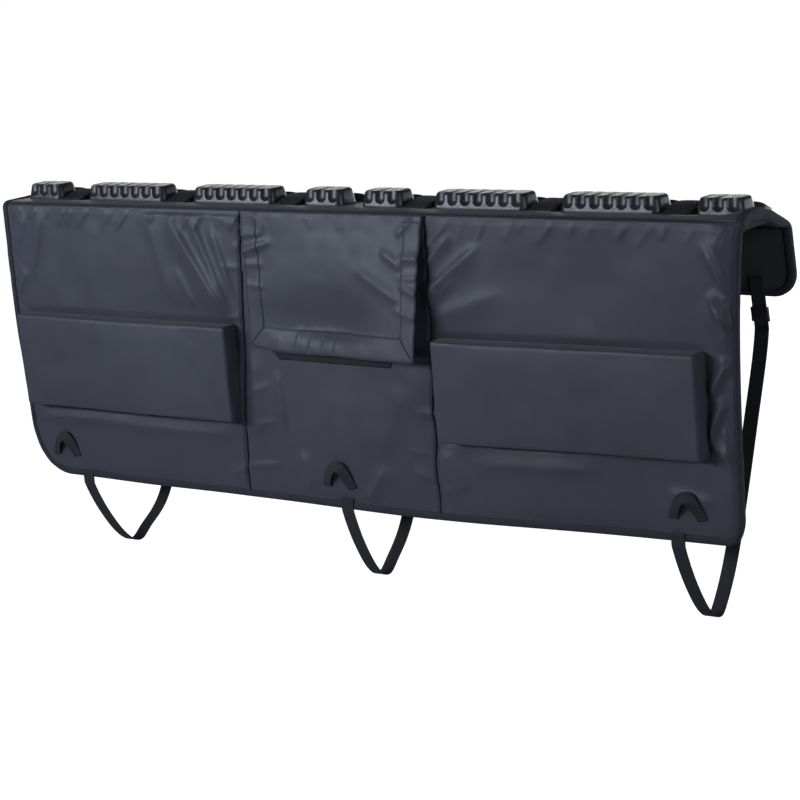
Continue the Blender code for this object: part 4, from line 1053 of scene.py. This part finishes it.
# Its folds: start, end, width, height
FLAP_FOLDS = (
    ((-0.150, -0.038), (-0.240, -0.047), 0.0070, 0.0044),
    ((-0.140, -0.054), (-0.245, -0.086), 0.0080, 0.0072),
    ((-0.158, -0.095), (-0.236, -0.096), 0.0070, 0.0028),
    ((-0.160, -0.136), (-0.236, -0.131), 0.0060, 0.0024),
    ((-0.176, -0.002), (-0.150, -0.036), 0.0080, 0.0036),
    ((-0.060, -0.001), (-0.040, -0.030), 0.0080, 0.0016),
    ((0.014, -0.001), (0.022, -0.032), 0.0090, 0.0018),
    ((0.174, -0.006), (0.136, -0.040), 0.0080, 0.0040),
    ((0.210, -0.076), (0.140, -0.074), 0.0090, 0.0048),
    ((0.156, -0.092), (0.104, -0.060), 0.0090, 0.0052),
    ((0.206, -0.106), (0.140, -0.110), 0.0065, 0.0028),
    ((0.152, -0.150), (0.046, -0.092), 0.0120, 0.0062),
    ((0.206, -0.142), (0.144, -0.118), 0.0075, 0.0044),
    ((0.204, -0.178), (0.128, -0.160), 0.0070, 0.0032),
    ((-0.094, -0.262), (-0.086, -0.200), 0.0065, 0.0030),
    ((-0.062, -0.262), (-0.054, -0.200), 0.0065, 0.0030),
    ((-0.030, -0.262), (-0.024, -0.198), 0.0060, 0.0032),
    ((0.000, -0.262), (0.002, -0.200), 0.0050, 0.0026),
    ((-0.140, -0.256), (-0.130, -0.214), 0.0070, 0.0018),
)


def flap_swell(x, z):
    """How far the flap's cloth stands out from its hanging plane."""
    across = np.clip((x - COVER_FLAP_LEFT) / COVER_FLAP_WIDTH, 0, 1)
    down = np.clip(-z / COVER_FLAP_DROP, 0, 1.05)
    belly = 0.004 * np.sin(math.pi * across) * np.sin(math.pi * np.clip(down / 0.8, 0, 1)) ** 1.5
    deep = np.exp(-((down - 0.815) / np.where(down < 0.815, 0.20, 0.075)) ** 2)
    valley = -0.0150 * np.exp(-((across - 0.50) / 0.27) ** 2) * deep
    out = belly + valley + two_noises(x, z, 81, (0.0014, 0.07), (0.0005, 0.025))
    for start, end, width, height in FLAP_FOLDS:
        out = out + fold(x, z, start, end, width, height, 0.4)
    return out * smoothstep(-z, 0.0, 0.012)


def flap_point(x, z, above=0.0):
    """A point of the flap from its flat cut: it swings out more towards its right-hand side."""
    across = (x - COVER_FLAP_LEFT) / COVER_FLAP_WIDTH
    tilt = COVER_FLAP_TILT_LEFT + (COVER_FLAP_TILT_RIGHT - COVER_FLAP_TILT_LEFT) * across ** 2
    out = 0.0018 + flap_swell(x, z) + above
    down = np.clip(-z / COVER_FLAP_DROP, 0, 1)
    low = np.clip(1 - (z + COVER_FLAP_DROP) / FLAP_CORNER, 0, 1)
    side = np.clip(1 - (x - COVER_FLAP_LEFT) / FLAP_CORNER, 0, 1)
    round_x = FLAP_CORNER * side * (1 - np.sqrt(1 - low * low / 2))
    round_z = FLAP_CORNER * low * (1 - np.sqrt(1 - side * side / 2))
    waver = 0.0016 * value_noise(z, 0 * z, 0.035, 83) * (across - 0.5) * 2
    narrow = -0.003 * down - across * 0.004 * down
    edge = (0.0020 * value_noise(x, 0 * x, 0.075, 84) + 0.0075 * np.exp(-(across / 0.16) ** 2)) * down ** 3
    return np.stack([x + waver + narrow + round_x, FLAP_HANG_Y + z * np.sin(tilt) - out * np.cos(tilt),
                     FLAP_HANG_Z + z * np.cos(tilt) + out * np.sin(tilt) + round_z + edge], -1)


def access_flap():
    x = steps(COVER_FLAP_LEFT, COVER_FLAP_RIGHT, FLAP_STEP)
    x, z = np.meshgrid(x, steps(-COVER_FLAP_DROP, -0.0010, FLAP_STEP))
    flap = sheet_piece("window_flap_cloth", "access_flap", x, z, flap_point(x, z))
    hems = flap_hems()


def hem_strip(side, x, z):
    """A folded hem on the flap's face: it starts and ends a little sunk, so its edges look turned."""
    across = np.linspace(0, 1, x.shape[1])
    edge = np.minimum(across, 1 - across)[None, :] * 9
    body = (0.0010 + 0.0003 * value_noise(x, z, 0.03, 85)) * np.clip(edge, 0.35, 1)
    points = flap_point(x, z, body)
    return sheet_piece(f"flap_hem_cloth_{side}", f"flap_hem_{side}", x, z, points, thickness=HEM_CLOTH)


def flap_hems():
    left, right, bottom = COVER_FLAP_LEFT, COVER_FLAP_RIGHT, -COVER_FLAP_DROP
    gap = 0.0006
    share = np.linspace(0, 1, 14)
    z = steps(bottom + 0.001, -0.012, FLAP_STEP)[:, None]
    width = np.maximum(HEM_WIDTH * np.clip((z - bottom) / BOTTOM_HEM_WIDTH, 0, 1) - gap, 0.0002)
    left_x = left + CLEARANCE + width * share
    right_x = right - CLEARANCE - width * share[::-1]
    pieces = [hem_strip("left", left_x, z + 0 * left_x), hem_strip("right", right_x, z + 0 * right_x)]
    z = (bottom + 0.0004 + (BOTTOM_HEM_WIDTH - 0.0004) * share)[:, None]
    cut = HEM_WIDTH * (z - bottom) / BOTTOM_HEM_WIDTH + gap
    along = steps(0, COVER_FLAP_WIDTH, FLAP_STEP) / COVER_FLAP_WIDTH
    x = left + cut + (right - left - 2 * cut) * along
    pieces.append(hem_strip("bottom", x.T[::-1], (z + 0 * x).T[::-1]))
    return pieces + [flap_stitches(left, right, bottom)]


def flap_stitches(left, right, bottom):
    """Two rows round the hems, and one along each mitre."""
    paths = []
    for side, low in ((0.003, 0.003), (HEM_WIDTH - 0.003, BOTTOM_HEM_WIDTH - 0.003)):
        paths.append([(left + side, -0.014), (left + side, bottom + low),
                      (right - side, bottom + low), (right - side, -0.014)])
    for corner, inward in ((left, 1), (right, -1)):
        paths.append([(corner + inward * 0.004, bottom + 0.0045),
                      (corner + inward * (HEM_WIDTH - 0.004), bottom + BOTTOM_HEM_WIDTH - 0.0045)])
    lines = []
    for path in paths:
        x, z = resample(path, TAPE_STEP).T
        points = flap_point(x, z, 0.0015)
        lines.append((points, unit(flap_point(x, z, 0.0115) - points)))
    return add_stitches("flap_stitches", lines)


def closure_strip():
    """The strip under the flap's lower edge, with ends cut at a slant."""
    middle = COVER_FLAP_MIDDLE - CLOSURE_FROM_MIDDLE
    low = -COVER_FLAP_DROP - CLOSURE_SHOWS
    high = low + CLOSURE_WIDTH
    s = steps(low, high, 0.003)[:, None]
    up = np.clip((s - low) / CLOSURE_SHOWS, 0, 1)
    left = middle - CLOSURE_LENGTH / 2 + 0.012 - 0.018 * up
    right = middle + CLOSURE_LENGTH / 2 - 0.006 + 0.008 * up
    x = left + (right - left) * steps(0, CLOSURE_LENGTH, 0.004) / CLOSURE_LENGTH
    s = s + 0 * x
    edge = np.minimum(np.minimum(x - left, right - x), np.minimum(s - low, high - s))
    out = front_relief(x, s) + 0.0004 + 0.0014 * smoothstep(edge, 0.0, 0.003)
    sheet_piece("closure_strip", "flap_closure_strip", x, s, cover_point(x, s, out), HOOKS)


# Impact pads

def pad_cage(width, height):
    """A box with bevelled edges, open at the back and cut into small facets."""
    box = bmesh.new()
    bmesh.ops.create_cube(box, size=1.0)
    for vert in box.verts:
        vert.co = Vector((vert.co.x * width, (vert.co.y - 0.5) * IMPACT_DEPTH, vert.co.z * height))
    back_edges = set(max(box.faces, key=lambda face: face.calc_center_median().y).edges)
    edges = [edge for edge in box.edges if edge not in back_edges]
    bmesh.ops.bevel(box, geom=edges, offset=PAD_EDGE, segments=3, profile=0.5, affect="EDGES")
    back = [face for face in box.faces if face.normal.y > 0.9]
    bmesh.ops.delete(box, geom=back, context="FACES")
    cuts = [((1, 0, 0), place) for place in np.arange(-width / 2 + 0.008, width / 2 - 0.004, PAD_STEP)]
    cuts += [((0, 0, 1), place) for place in np.arange(-height / 2 + 0.008, height / 2 - 0.004, PAD_STEP)]
    cuts += [((0, 1, 0), place) for place in np.arange(-IMPACT_DEPTH + 0.007, -0.002, 0.0045)]
    for normal, place in cuts:
        geometry = box.verts[:] + box.edges[:] + box.faces[:]
        bmesh.ops.bisect_plane(box, geom=geometry, dist=0.00002, plane_co=Vector(normal) * float(place),
                               plane_no=Vector(normal))
    return mesh_from(box, "impact_pad_cloth")


def impact_pad(side, low, high, seed):
    """A boxed cover over foam: crowned face, soft edges, puckered sides."""
    width, height = high - low, IMPACT_HEIGHT
    mesh = pad_cage(width, height)
    place = np.zeros(len(mesh.vertices) * 3, np.float32)
    mesh.vertices.foreach_get("co", place)
    x, y, z = place.reshape(-1, 3).astype(float).T
    u, v = x / (width / 2), z / (height / 2)
    front = smoothstep(-y, IMPACT_DEPTH * 0.45, IMPACT_DEPTH * 0.98)
    crown = 0.0026 * (1 - u ** 4) * (1 - v ** 4)
    waves = two_noises(x, z, seed, (0.0013, 0.09), (0.0005, 0.035))
    waist = np.sin(math.pi * np.clip(-y / IMPACT_DEPTH, 0, 1))
    gather_x = 0.0016 * value_noise(z, y * 0.6, 0.016, seed + 2) + 0.0014
    gather_z = 0.0010 * value_noise(x, y * 0.6, 0.020, seed + 3) + 0.0008
    spread_x = waist * gather_x - 0.0004 * (1 - v * v) * front
    spread_z = waist * gather_z - 0.0004 * (1 - u * u) * front
    new_x = x + np.sign(x) * smoothstep(np.abs(u), 0.985, 1.0) * spread_x
    new_y = y - front * (crown + np.maximum(waves, -crown))
    new_z = z + np.sign(z) * smoothstep(np.abs(v), 0.95, 1.0) * spread_z
    hung_x, hung_z = hang(new_x + (low + high) / 2, new_z - IMPACT_TOP - height / 2, 0.0)
    place = np.stack([hung_x, np.minimum(new_y, -CLEARANCE), hung_z], -1)
    mesh.vertices.foreach_set("co", place.astype(np.float32).ravel())
    mesh.shade_smooth()
    node = f"impact_pad_cover_{side}"
    cover = add_piece(f"impact_pad_cloth_{side}", mesh, TARPAULIN, node, CLOTH)


def impact_pads():
    impact_pad("left", *IMPACT_LEFT, 91)
    impact_pad("right", *IMPACT_RIGHT, 95)


# Rubber blocks

def block_length(flutes):
    return (flutes - 1) * FLUTE_PITCH + 2 * FLUTE_END


def bike_gap():
    lengths = sum(block_length(count) for count in HALF_ROW)
    return (HALF_LENGTH - END_MARGIN - CENTRE_GAP / 2 - lengths) / (len(HALF_ROW) - 1)


def block_row():
    """The blocks from left to right, as (x, flutes)."""
    right_half = []
    start = CENTRE_GAP / 2
    for count in HALF_ROW:
        length = block_length(count)
        right_half.append((start + length / 2, count))
        start += length + bike_gap()
    return [(-x, count) for x, count in reversed(right_half)] + right_half


def flute_places(flutes):
    return [(index - (flutes - 1) / 2) * FLUTE_PITCH for index in range(flutes)]


def block_core(flutes):
    """The block before its cuts: tapered, with round upright edges and a round rim."""
    half_length = block_length(flutes) / 2
    core = bmesh.new()
    bmesh.ops.create_cube(core, size=2.0)
    for vert in core.verts:
        level, slope = (BLOCK_HEIGHT, BLOCK_SLOPE) if vert.co.z > 0 else (0.0, 0.0)
        vert.co = Vector((vert.co.x * (half_length - slope), vert.co.y * (BLOCK_DEPTH / 2 - slope), level))
    upright = [edge for edge in core.edges
               if abs(edge.verts[0].co.z - edge.verts[1].co.z) > BLOCK_HEIGHT / 2]
    bmesh.ops.bevel(core, geom=upright, offset=BLOCK_CORNER, segments=8, profile=0.5, affect="EDGES")
    crown = max(core.faces, key=lambda face: face.calc_center_median().z)
    bmesh.ops.bevel(core, geom=list(crown.edges), offset=BLOCK_ROUND, segments=5, profile=0.5, affect="EDGES")
    return mesh_from(core, f"block_core_{flutes}")


def flute_cutters(flutes):
    """Upright bars with round lower ends, leaning with the block's front."""
    bars = bmesh.new()
    lean = math.tan(math.atan2(BLOCK_SLOPE, BLOCK_HEIGHT))
    front = -BLOCK_DEPTH / 2 - FLUTE_RADIUS + FLUTE_DEPTH
    foot = FLUTE_FLOOR + FLUTE_RADIUS * FLUTE_END_SHARE
    for x in flute_places(flutes):
        made = bmesh.ops.create_uvsphere(bars, u_segments=28, v_segments=14, radius=FLUTE_RADIUS)
        for vert in made["verts"]:
            above = vert.co.z > 0.0001
            level = vert.co.z + BLOCK_HEIGHT * 1.5 if above else vert.co.z * FLUTE_END_SHARE
            vert.co = Vector((vert.co.x + x, vert.co.y + level * lean + front, level + foot))
    return mesh_from(bars, f"flutes_{flutes}")


def wave_cutters(flutes):
    """Bars across the top that leave shallow waves."""
    bars = bmesh.new()
    for x in flute_places(flutes):
        made = bmesh.ops.create_cone(bars, cap_ends=True, segments=64, radius1=WAVE_RADIUS,
                                     radius2=WAVE_RADIUS, depth=BLOCK_DEPTH * 1.5)
        for vert in made["verts"]:
            across, up, along = vert.co
            vert.co = Vector((across + x, along, up + BLOCK_HEIGHT + WAVE_RADIUS - WAVE_DEPTH))
    bmesh.ops.recalc_face_normals(bars, faces=bars.faces)
    return mesh_from(bars, f"waves_{flutes}")


def block_mesh(flutes):
    """The moulded block in fine facets: rounded core, upright flutes, waved top, softened edges."""
    holder = bpy.data.objects.new("block_holder", block_core(flutes))
    bpy.context.scene.collection.objects.link(holder)
    cutters = []
    for cut_mesh in (flute_cutters(flutes), wave_cutters(flutes)):
        cutter = bpy.data.objects.new(cut_mesh.name, cut_mesh)
        bpy.context.scene.collection.objects.link(cutter)
        cutters.append(cutter)
        cut = holder.modifiers.new(cut_mesh.name, "BOOLEAN")
        cut.operation = "DIFFERENCE"
        cut.solver = "EXACT"
        cut.object = cutter
    soften_edges(holder, BLOCK_EDGE, 3, 24)
    bpy.context.view_layer.update()
    evaluated = holder.evaluated_get(bpy.context.evaluated_depsgraph_get())
    finished = bpy.data.meshes.new_from_object(evaluated)
    for item in [holder] + cutters:
        bpy.data.objects.remove(item, do_unlink=True)
    finished.name = f"rubber_block_{flutes}"
    finished.shade_smooth()
    finished.set_sharp_from_angle(angle=math.radians(38))
    return finished


def rubber_blocks():
    patterns = {count: block_mesh(count) for count in sorted(set(HALF_ROW))}
    front_y = CREST_Y - FRONT_ROW_SETBACK - BLOCK_DEPTH / 2
    rear = REAR_ROW_SETBACK + BLOCK_DEPTH / 2
    slope = Matrix.Translation((0, CREST_Y, 0)) @ Matrix.Rotation(-SLOPE, 4, "X")
    for number, (x, flutes) in enumerate(block_row(), start=1):
        places = {
            "front": Matrix.Translation((x, front_y, CLEARANCE)),
            "rear": slope @ Matrix.Translation((x, rear, CLEARANCE)) @ Matrix.Rotation(math.pi, 4, "Z"),
        }
        for row, place in places.items():
            mesh = patterns[flutes].copy()
            if row == "rear":
                mesh.transform(Matrix.Diagonal((1, 1, REAR_BLOCK_HEIGHT / BLOCK_HEIGHT, 1)))
            mesh.transform(place)
            node = f"{row}_block_{number}"
            add_piece(f"rubber_block_{row}_{number}", mesh, RUBBER, node)


# Frame straps

def frame_straps():
    """Soft straps in the bike places: a doubled band that arches over the crest."""
    row = block_row()
    middle = len(row) // 2 - 1
    places = [pair for index, pair in enumerate(zip(row, row[1:])) if index != middle]
    width = bike_gap() - 2 * FRAME_STRAP_SIDE_GAP
    along = np.linspace(0, 1, 46)
    s = FRAME_STRAP_FRONT + (CREST_Y - FRAME_STRAP_FRONT + FRAME_STRAP_REAR) * along
    across = np.linspace(-1, 1, 17)
    arch = FRAME_STRAP_RISE * np.sin(math.pi * along) ** 1.5
    crown = 1 - 0.10 * np.abs(across) ** 3
    columns = across * width / 2
    for number, ((left_x, left_flutes), (right_x, right_flutes)) in enumerate(places, start=1):
        middle_x = (left_x + block_length(left_flutes) / 2 + right_x - block_length(right_flutes) / 2) / 2
        x, grid_s = np.meshgrid(middle_x + columns, s)
        rise = arch * (1 + 0.10 * value_noise(along, 0 * along + number, 0.2, 100 + number))
        upper = CLEARANCE + FRAME_STRAP_THIN + rise[:, None] * crown[None, :]
        upper = upper + 0.0005 * value_noise(x, grid_s, 0.02, 110 + number)
        y, z, ny, nz = profile(x, grid_s)
        top = np.stack([x, y + ny * upper, z + nz * upper], -1)
        base = np.stack([x, y + ny * CLEARANCE, z + nz * CLEARANCE], -1)
        uv = np.stack(np.meshgrid(np.concatenate([columns, columns[::-1] + width]), s), -1)
        rings = np.concatenate([top, base[:, ::-1]], axis=1)
        node = f"frame_strap_{number}"
        strap = add_band(f"bike_strap_{number}", rings, uv, FRAME_STRAP_SHADED_FINISH, node)
        soften_edges(strap, 0.0009, 2, 50)


# Lower straps

def smooth_route(points, count):
    """Points on a smooth curve through all but the first and last points, which set its ends' aim."""
    route = []
    for index in range(1, len(points) - 2):
        p0, p1, p2, p3 = (Vector(points[index + shift]) for shift in (-1, 0, 1, 2))
        for step in range(count):
            t = step / count
            route.append(0.5 * (2 * p1 + (p2 - p0) * t + (2 * p0 - 5 * p1 + 4 * p2 - p3) * t ** 2
                                + (3 * p1 - p0 - 3 * p2 + p3) * t ** 3))
    route.append(Vector(points[-2]))
    return [Vector(points[0])] + route + [Vector(points[-1])]


def back_flap_place(down, depth):
    """A point at a distance down the back flap and a depth inside its outer face."""
    y = REAR_Y + down * math.sin(FLAP_LEAN) - depth * math.cos(FLAP_LEAN)
    z = -REAR_FALL - down * math.cos(FLAP_LEAN) - depth * math.sin(FLAP_LEAN)
    return y, z


def strap_points(front_x, low_shift, mid_shift, rear_shift, hang_depth):
    """A lower strap's route from the front hem down and up to the back flap, and its keeper's place."""
    low_x, mid_x, rear_x = (front_x + shift for shift in (low_shift, mid_shift, rear_shift))
    low_z = -FRONT_DROP - hang_depth
    front_y = -(STRAP_STAND + 2 * CLEARANCE) - WEBBING / 2
    rear_depth = BACK_STACK + 2 * CLEARANCE + STRAP_STAND + WEBBING / 2
    top_y, top_z = back_flap_place(FLAP_DROP - REAR_TAB, rear_depth)
    hang_y, hang_z = back_flap_place(FLAP_DROP + KEEPER_DROP + KEEPER_HEIGHT, rear_depth)
    low_y = hang_y * 0.42
    points = [
        (front_x, front_y, -FRONT_DROP + FRONT_TAB),
        (front_x, front_y, -FRONT_DROP - STRAP_HEM_RUN),
        (front_x + low_shift * 0.3, low_y * 0.22, -FRONT_DROP - hang_depth * 0.44),
        (front_x + low_shift * 0.7, low_y * 0.62, -FRONT_DROP - hang_depth * 0.84),
        (low_x, low_y, low_z),
        (low_x * 0.8 + mid_x * 0.2, low_y + STRAP_TURN, low_z + STRAP_TURN),
        (mid_x, hang_y * 0.68, -FRONT_DROP - KEEPER_DROP),
        ((mid_x + rear_x) / 2, hang_y * 0.90, (hang_z - FRONT_DROP) / 2),
        (rear_x, hang_y, hang_z),
        (rear_x, top_y, top_z),
    ]
    return points, (rear_x, *back_flap_place(FLAP_DROP + KEEPER_DROP, rear_depth))


# Upper half of the webbing's section, with raised selvedges: share of its width, share of its half thickness
WEBBING_SECTION = ((-0.5, 0.0), (-0.485, 0.62), (-0.44, 0.95), (-0.40, 0.86), (-0.2, 0.90), (0.0, 0.92),
                   (0.2, 0.90), (0.40, 0.86), (0.44, 0.95), (0.485, 0.62), (0.5, 0.0))

# Levels of a keeper's outside: share of its height, share of its wall
KEEPER_LEVELS = ((-0.5, 0.0), (-0.5, 0.6), (-0.44, 1.0), (-0.2, 0.9), (0.0, 0.86), (0.2, 0.9), (0.44, 1.0),
                 (0.5, 0.6), (0.5, 0.0), (-0.5, 0.0))

# Pitch, length and radius of the stitches in webbing
WEBBING_STITCH = (0.0034, 0.0026, 0.00035)


def webbing_ribbon(side, route):
    """A flat woven band along a route, its width along x."""
    route = np.array([tuple(point) for point in route])
    across = np.array((1.0, 0, 0))
    normal = unit(np.cross(across, directions(route)))
    section = WEBBING_SECTION + tuple((-share, -level) for share, level in WEBBING_SECTION[1:-1])
    rows = [route + across * share * WEBBING_WIDTH + normal * level * WEBBING / 2 for share, level in section]
    around = [share * WEBBING_WIDTH + (0 if level >= 0 else 0.05) for share, level in section]
    uv = np.stack(np.meshgrid(around, line_lengths(route)), -1)
    rings = np.stack(rows, 1)
    add_band(f"strap_webbing_{side}", rings, uv, WEBBING_FINISH, f"lower_strap_{side}")


def box_stitch(place):
    """A crossed square of stitching on the front of a strap's sewn end."""
    x, y, z = place
    half = WEBBING_WIDTH / 2 - 0.0035
    corners = [(x - half, z - 0.002), (x + half, z - 0.002), (x + half, z - 0.015), (x - half, z - 0.015)]
    for loop in (corners + corners[:1], corners[0::2], corners[1::2]):
        path = resample(loop, 0.003)
        line = np.stack([path[:, 0], np.full(len(path), y - WEBBING / 2), path[:, 1]], -1)
        yield line, np.tile(np.array((0, -1.0, 0)), (len(line), 1))


def lower_straps():
    stitches = []
    for side, values in LOWER_STRAPS.items():
        points, keeper_place = strap_points(*values)
        route = smooth_route(points, 12)
        fine = [route[0].lerp(route[1], step / 6) for step in range(6)] + route[1:-1]
        fine += [route[-2].lerp(route[-1], step / 8) for step in range(9)]
        webbing_ribbon(side, fine)
        strap_keeper(side, keeper_place)
        stitches += box_stitch(points[0])
    add_stitches("strap_stitches", stitches, *WEBBING_STITCH)


def strap_keeper(side, place):
    """A moulded slider with a rounded rim and a waist."""
    rows = []
    for level, wall in KEEPER_LEVELS:
        extra = KEEPER_WALL * wall
        half_width = WEBBING_WIDTH / 2 + CLEARANCE + extra
        half_depth = WEBBING / 2 + CLEARANCE + extra
        ring = rounded_rectangle((0, 0), half_width, half_depth, 0.0009 + extra * 0.6, 6)
        rows.append([(x, y, level * KEEPER_HEIGHT) for x, y in ring])
    mesh = grid_mesh("strap_keeper", np.array(rows), wrap=True)
    with edited(mesh) as shape:
        bmesh.ops.remove_doubles(shape, verts=shape.verts, dist=0.000005)
        bmesh.ops.recalc_face_normals(shape, faces=shape.faces)
    mesh.transform(Matrix.Translation(place) @ Matrix.Rotation(FLAP_LEAN, 4, "X"))
    add_piece(f"strap_slider_{side}", mesh, KEEPER, f"strap_keeper_{side}")


def on_loop(x, s):
    return front_relief(x, s) + 0.0034


def corner_loop(side, x):
    """A webbing loop folded to a point: two legs sewn at their feet, the fold standing off the cloth."""
    foot = -FRONT_DROP + LOOP_ABOVE_HEM
    apex = foot + LOOP_RISE
    left, right = x - LOOP_SPAN / 2, x + LOOP_SPAN / 2
    corners = [(left + 0.0135, foot - 0.001), (left + 0.0150, foot + 0.010), (x - 0.0125, apex - 0.0210),
               (x + 0.001, apex - 0.0135), (x + 0.0130, apex - 0.0200), (right - 0.0180, foot + 0.009),
               (right - 0.0150, foot - 0.001)]
    padded_route = [(*corner, 0) for corner in corners[:1] + corners + corners[-1:]]
    line = resample([tuple(point)[:2] for point in smooth_route(padded_route, 8)[1:-1]], LOOP_STEP)
    normal = left_of(directions(line))
    along = np.linspace(0, 1, len(line))
    stand = 0.0008 + 0.0085 * np.sin(math.pi * along) ** 1.4
    tilt = 0.0045 * np.sin(math.pi * along)
    shares = np.linspace(-0.5, 0.5, 9)
    top_face, under_face = [], []
    for share in shares:
        spot_x, spot_s = (line + normal * share * LOOP_BAND).T
        out = np.maximum(stand - tilt * share * 2, 0.0006) + front_relief(spot_x, spot_s)
        edge = 0.0002 * (1 - (2 * abs(share)) ** 6)
        top_face.append(cover_point(spot_x, spot_s, out + LOOP_THICKNESS + edge))
        under_face.append(cover_point(spot_x, spot_s, out - edge))
    rings = np.array(top_face + under_face[::-1]).transpose(1, 0, 2)
    around = np.concatenate([shares * LOOP_BAND, shares[::-1] * LOOP_BAND + 0.05])
    uv = np.stack(np.meshgrid(around, np.arange(len(line)) * LOOP_STEP), -1)
    add_band(f"webbing_loop_{side}", rings, uv, WEBBING_FINISH, f"corner_loop_{side}")
    paths = [resample([(foot_x - 0.007, foot_z + 0.003), (foot_x + 0.007, foot_z + 0.003)], 0.003)
             for foot_x, foot_z in (corners[0], corners[-1])]
    return [cover_line(path, on_loop) for path in paths]


def corner_loops():
    stitches = []
    for side, x in CORNER_LOOPS.items():
        stitches += corner_loop(side, x)
    add_stitches("loop_stitches", stitches, *WEBBING_STITCH)


def on_cloth(x, s):
    return front_relief(x, s) + 0.0001


def seam_stitches():
    """Topstitching beside the upright seams."""
    places = (SEAM_LEFT - 0.0065, SEAM_RIGHT + 0.0065)
    lines = [cover_line([(x, -0.012), (x, -FRONT_DROP + 0.016)], on_cloth) for x in places]
    add_stitches("seam_stitches", lines)


def foam_finish():
    for node in ("top_foam", "back_padding", "impact_pad_foam_left", "impact_pad_foam_right"):
        mesh = frame["nodes"][node].data
        mesh.materials.clear()
        mesh.materials.append(FOAM)


# Floor, light and camera

def floor_material():
    """Pale matt surface that the camera sees near white, with the object's shadow kept."""
    material = bpy.data.materials.new("pale_floor")
    material.use_nodes = True
    tree = material.node_tree
    tree.nodes.remove(tree.nodes["Principled BSDF"])
    seen = add_node(tree, "LightPath").outputs["Is Camera Ray"]
    glow = add_node(tree, "Math", {0: seen, 1: FLOOR_GLOW}, operation="MULTIPLY")
    light = add_node(tree, "Emission", {"Color": WHITE, "Strength": glow.outputs["Value"]})
    matt = add_node(tree, "BsdfDiffuse", {"Color": (FLOOR_SHADE, FLOOR_SHADE, FLOOR_SHADE, 1)})
    both = add_node(tree, "AddShader", {0: matt.outputs[0], 1: light.outputs[0]})
    tree.links.new(both.outputs[0], tree.nodes["Material Output"].inputs["Surface"])
    return material


def floor():
    bpy.ops.mesh.primitive_plane_add(size=FLOOR_SIZE, location=(0, 0, cad_low.z - 0.004))
    plane = bpy.context.active_object
    plane.name = "floor"
    plane.data.materials.append(floor_material())


def world():
    """Dim even surroundings; only the camera, also through clear pieces, sees them white."""
    scene_world = bpy.data.worlds.new("studio")
    bpy.context.scene.world = scene_world
    scene_world.use_nodes = True
    tree = scene_world.node_tree
    path = add_node(tree, "LightPath").outputs
    inputs = {0: path["Is Camera Ray"], 1: path["Is Transmission Ray"]}
    seen = add_node(tree, "Math", inputs, operation="MAXIMUM").outputs["Value"]
    level = add_node(tree, "MapRange", {"Value": seen, "To Min": WORLD_LEVEL, "To Max": 1.0})
    background = tree.nodes["Background"].inputs
    background["Color"].default_value = WHITE
    tree.links.new(level.outputs["Result"], background["Strength"])


def area_light(name, place, target, size, power, spread):
    data = bpy.data.lights.new(name, "AREA")
    data.shape = "RECTANGLE"
    data.size, data.size_y = size
    data.energy = power
    data.spread = math.radians(spread)
    lamp = bpy.data.objects.new(name, data)
    lamp.location = place
    lamp.rotation_euler = (Vector(target) - Vector(place)).to_track_quat("-Z", "Y").to_euler()
    bpy.context.scene.collection.objects.link(lamp)


def lights():
    area_light("key_softbox", (-1.15, -2.0, 0.46), (0.0, 0, -0.04), (1.9, 0.45), 16.8, 92)
    area_light("fill_softbox", (3.0, -1.0, 0.55), (0.3, 0, 0.0), (1.3, 0.9), 11.0, 120)
    area_light("rim_softbox", (2.6, 2.4, 0.15), (0.3, 0, 0), (1.8, 0.8), 6.0, 120)
    area_light("low_back_softbox", (0.3, 3.2, -0.25), (0, 0.1, -0.2), (3.2, 0.8), 16.0, 130)
    area_light("back_softbox", (-1.4, 2.4, 0.62), (0, 0.1, 0), (3.2, 0.5), 5.5, 120)


def camera():
    data = bpy.data.cameras.new("camera")
    data.lens = CAMERA_LENS
    data.sensor_width = SENSOR
    data.sensor_fit = "HORIZONTAL"
    data.clip_start, data.clip_end = 0.1, 100
    eye = bpy.data.objects.new("camera", data)
    back = CAMERA_RIGHT.cross(CAMERA_UP)
    turn = Matrix((CAMERA_RIGHT, CAMERA_UP, back)).transposed().to_4x4()
    eye.matrix_world = Matrix.Translation(CAMERA_PLACE + SHIFT) @ turn
    bpy.context.scene.collection.objects.link(eye)
    bpy.context.scene.camera = eye


camera()
front_cloths()
centre_cloth()
window_rim()
top_cloth()
back_cloth()
piping()
edge_tapes()
front_foam()
linings()
access_flap()
closure_strip()
impact_pads()
rubber_blocks()
frame_straps()
lower_straps()
corner_loops()
seam_stitches()
foam_finish()
floor()
world()
lights()
bpy.context.scene.view_settings.view_transform = "Standard"

bpy.context.view_layer.update()
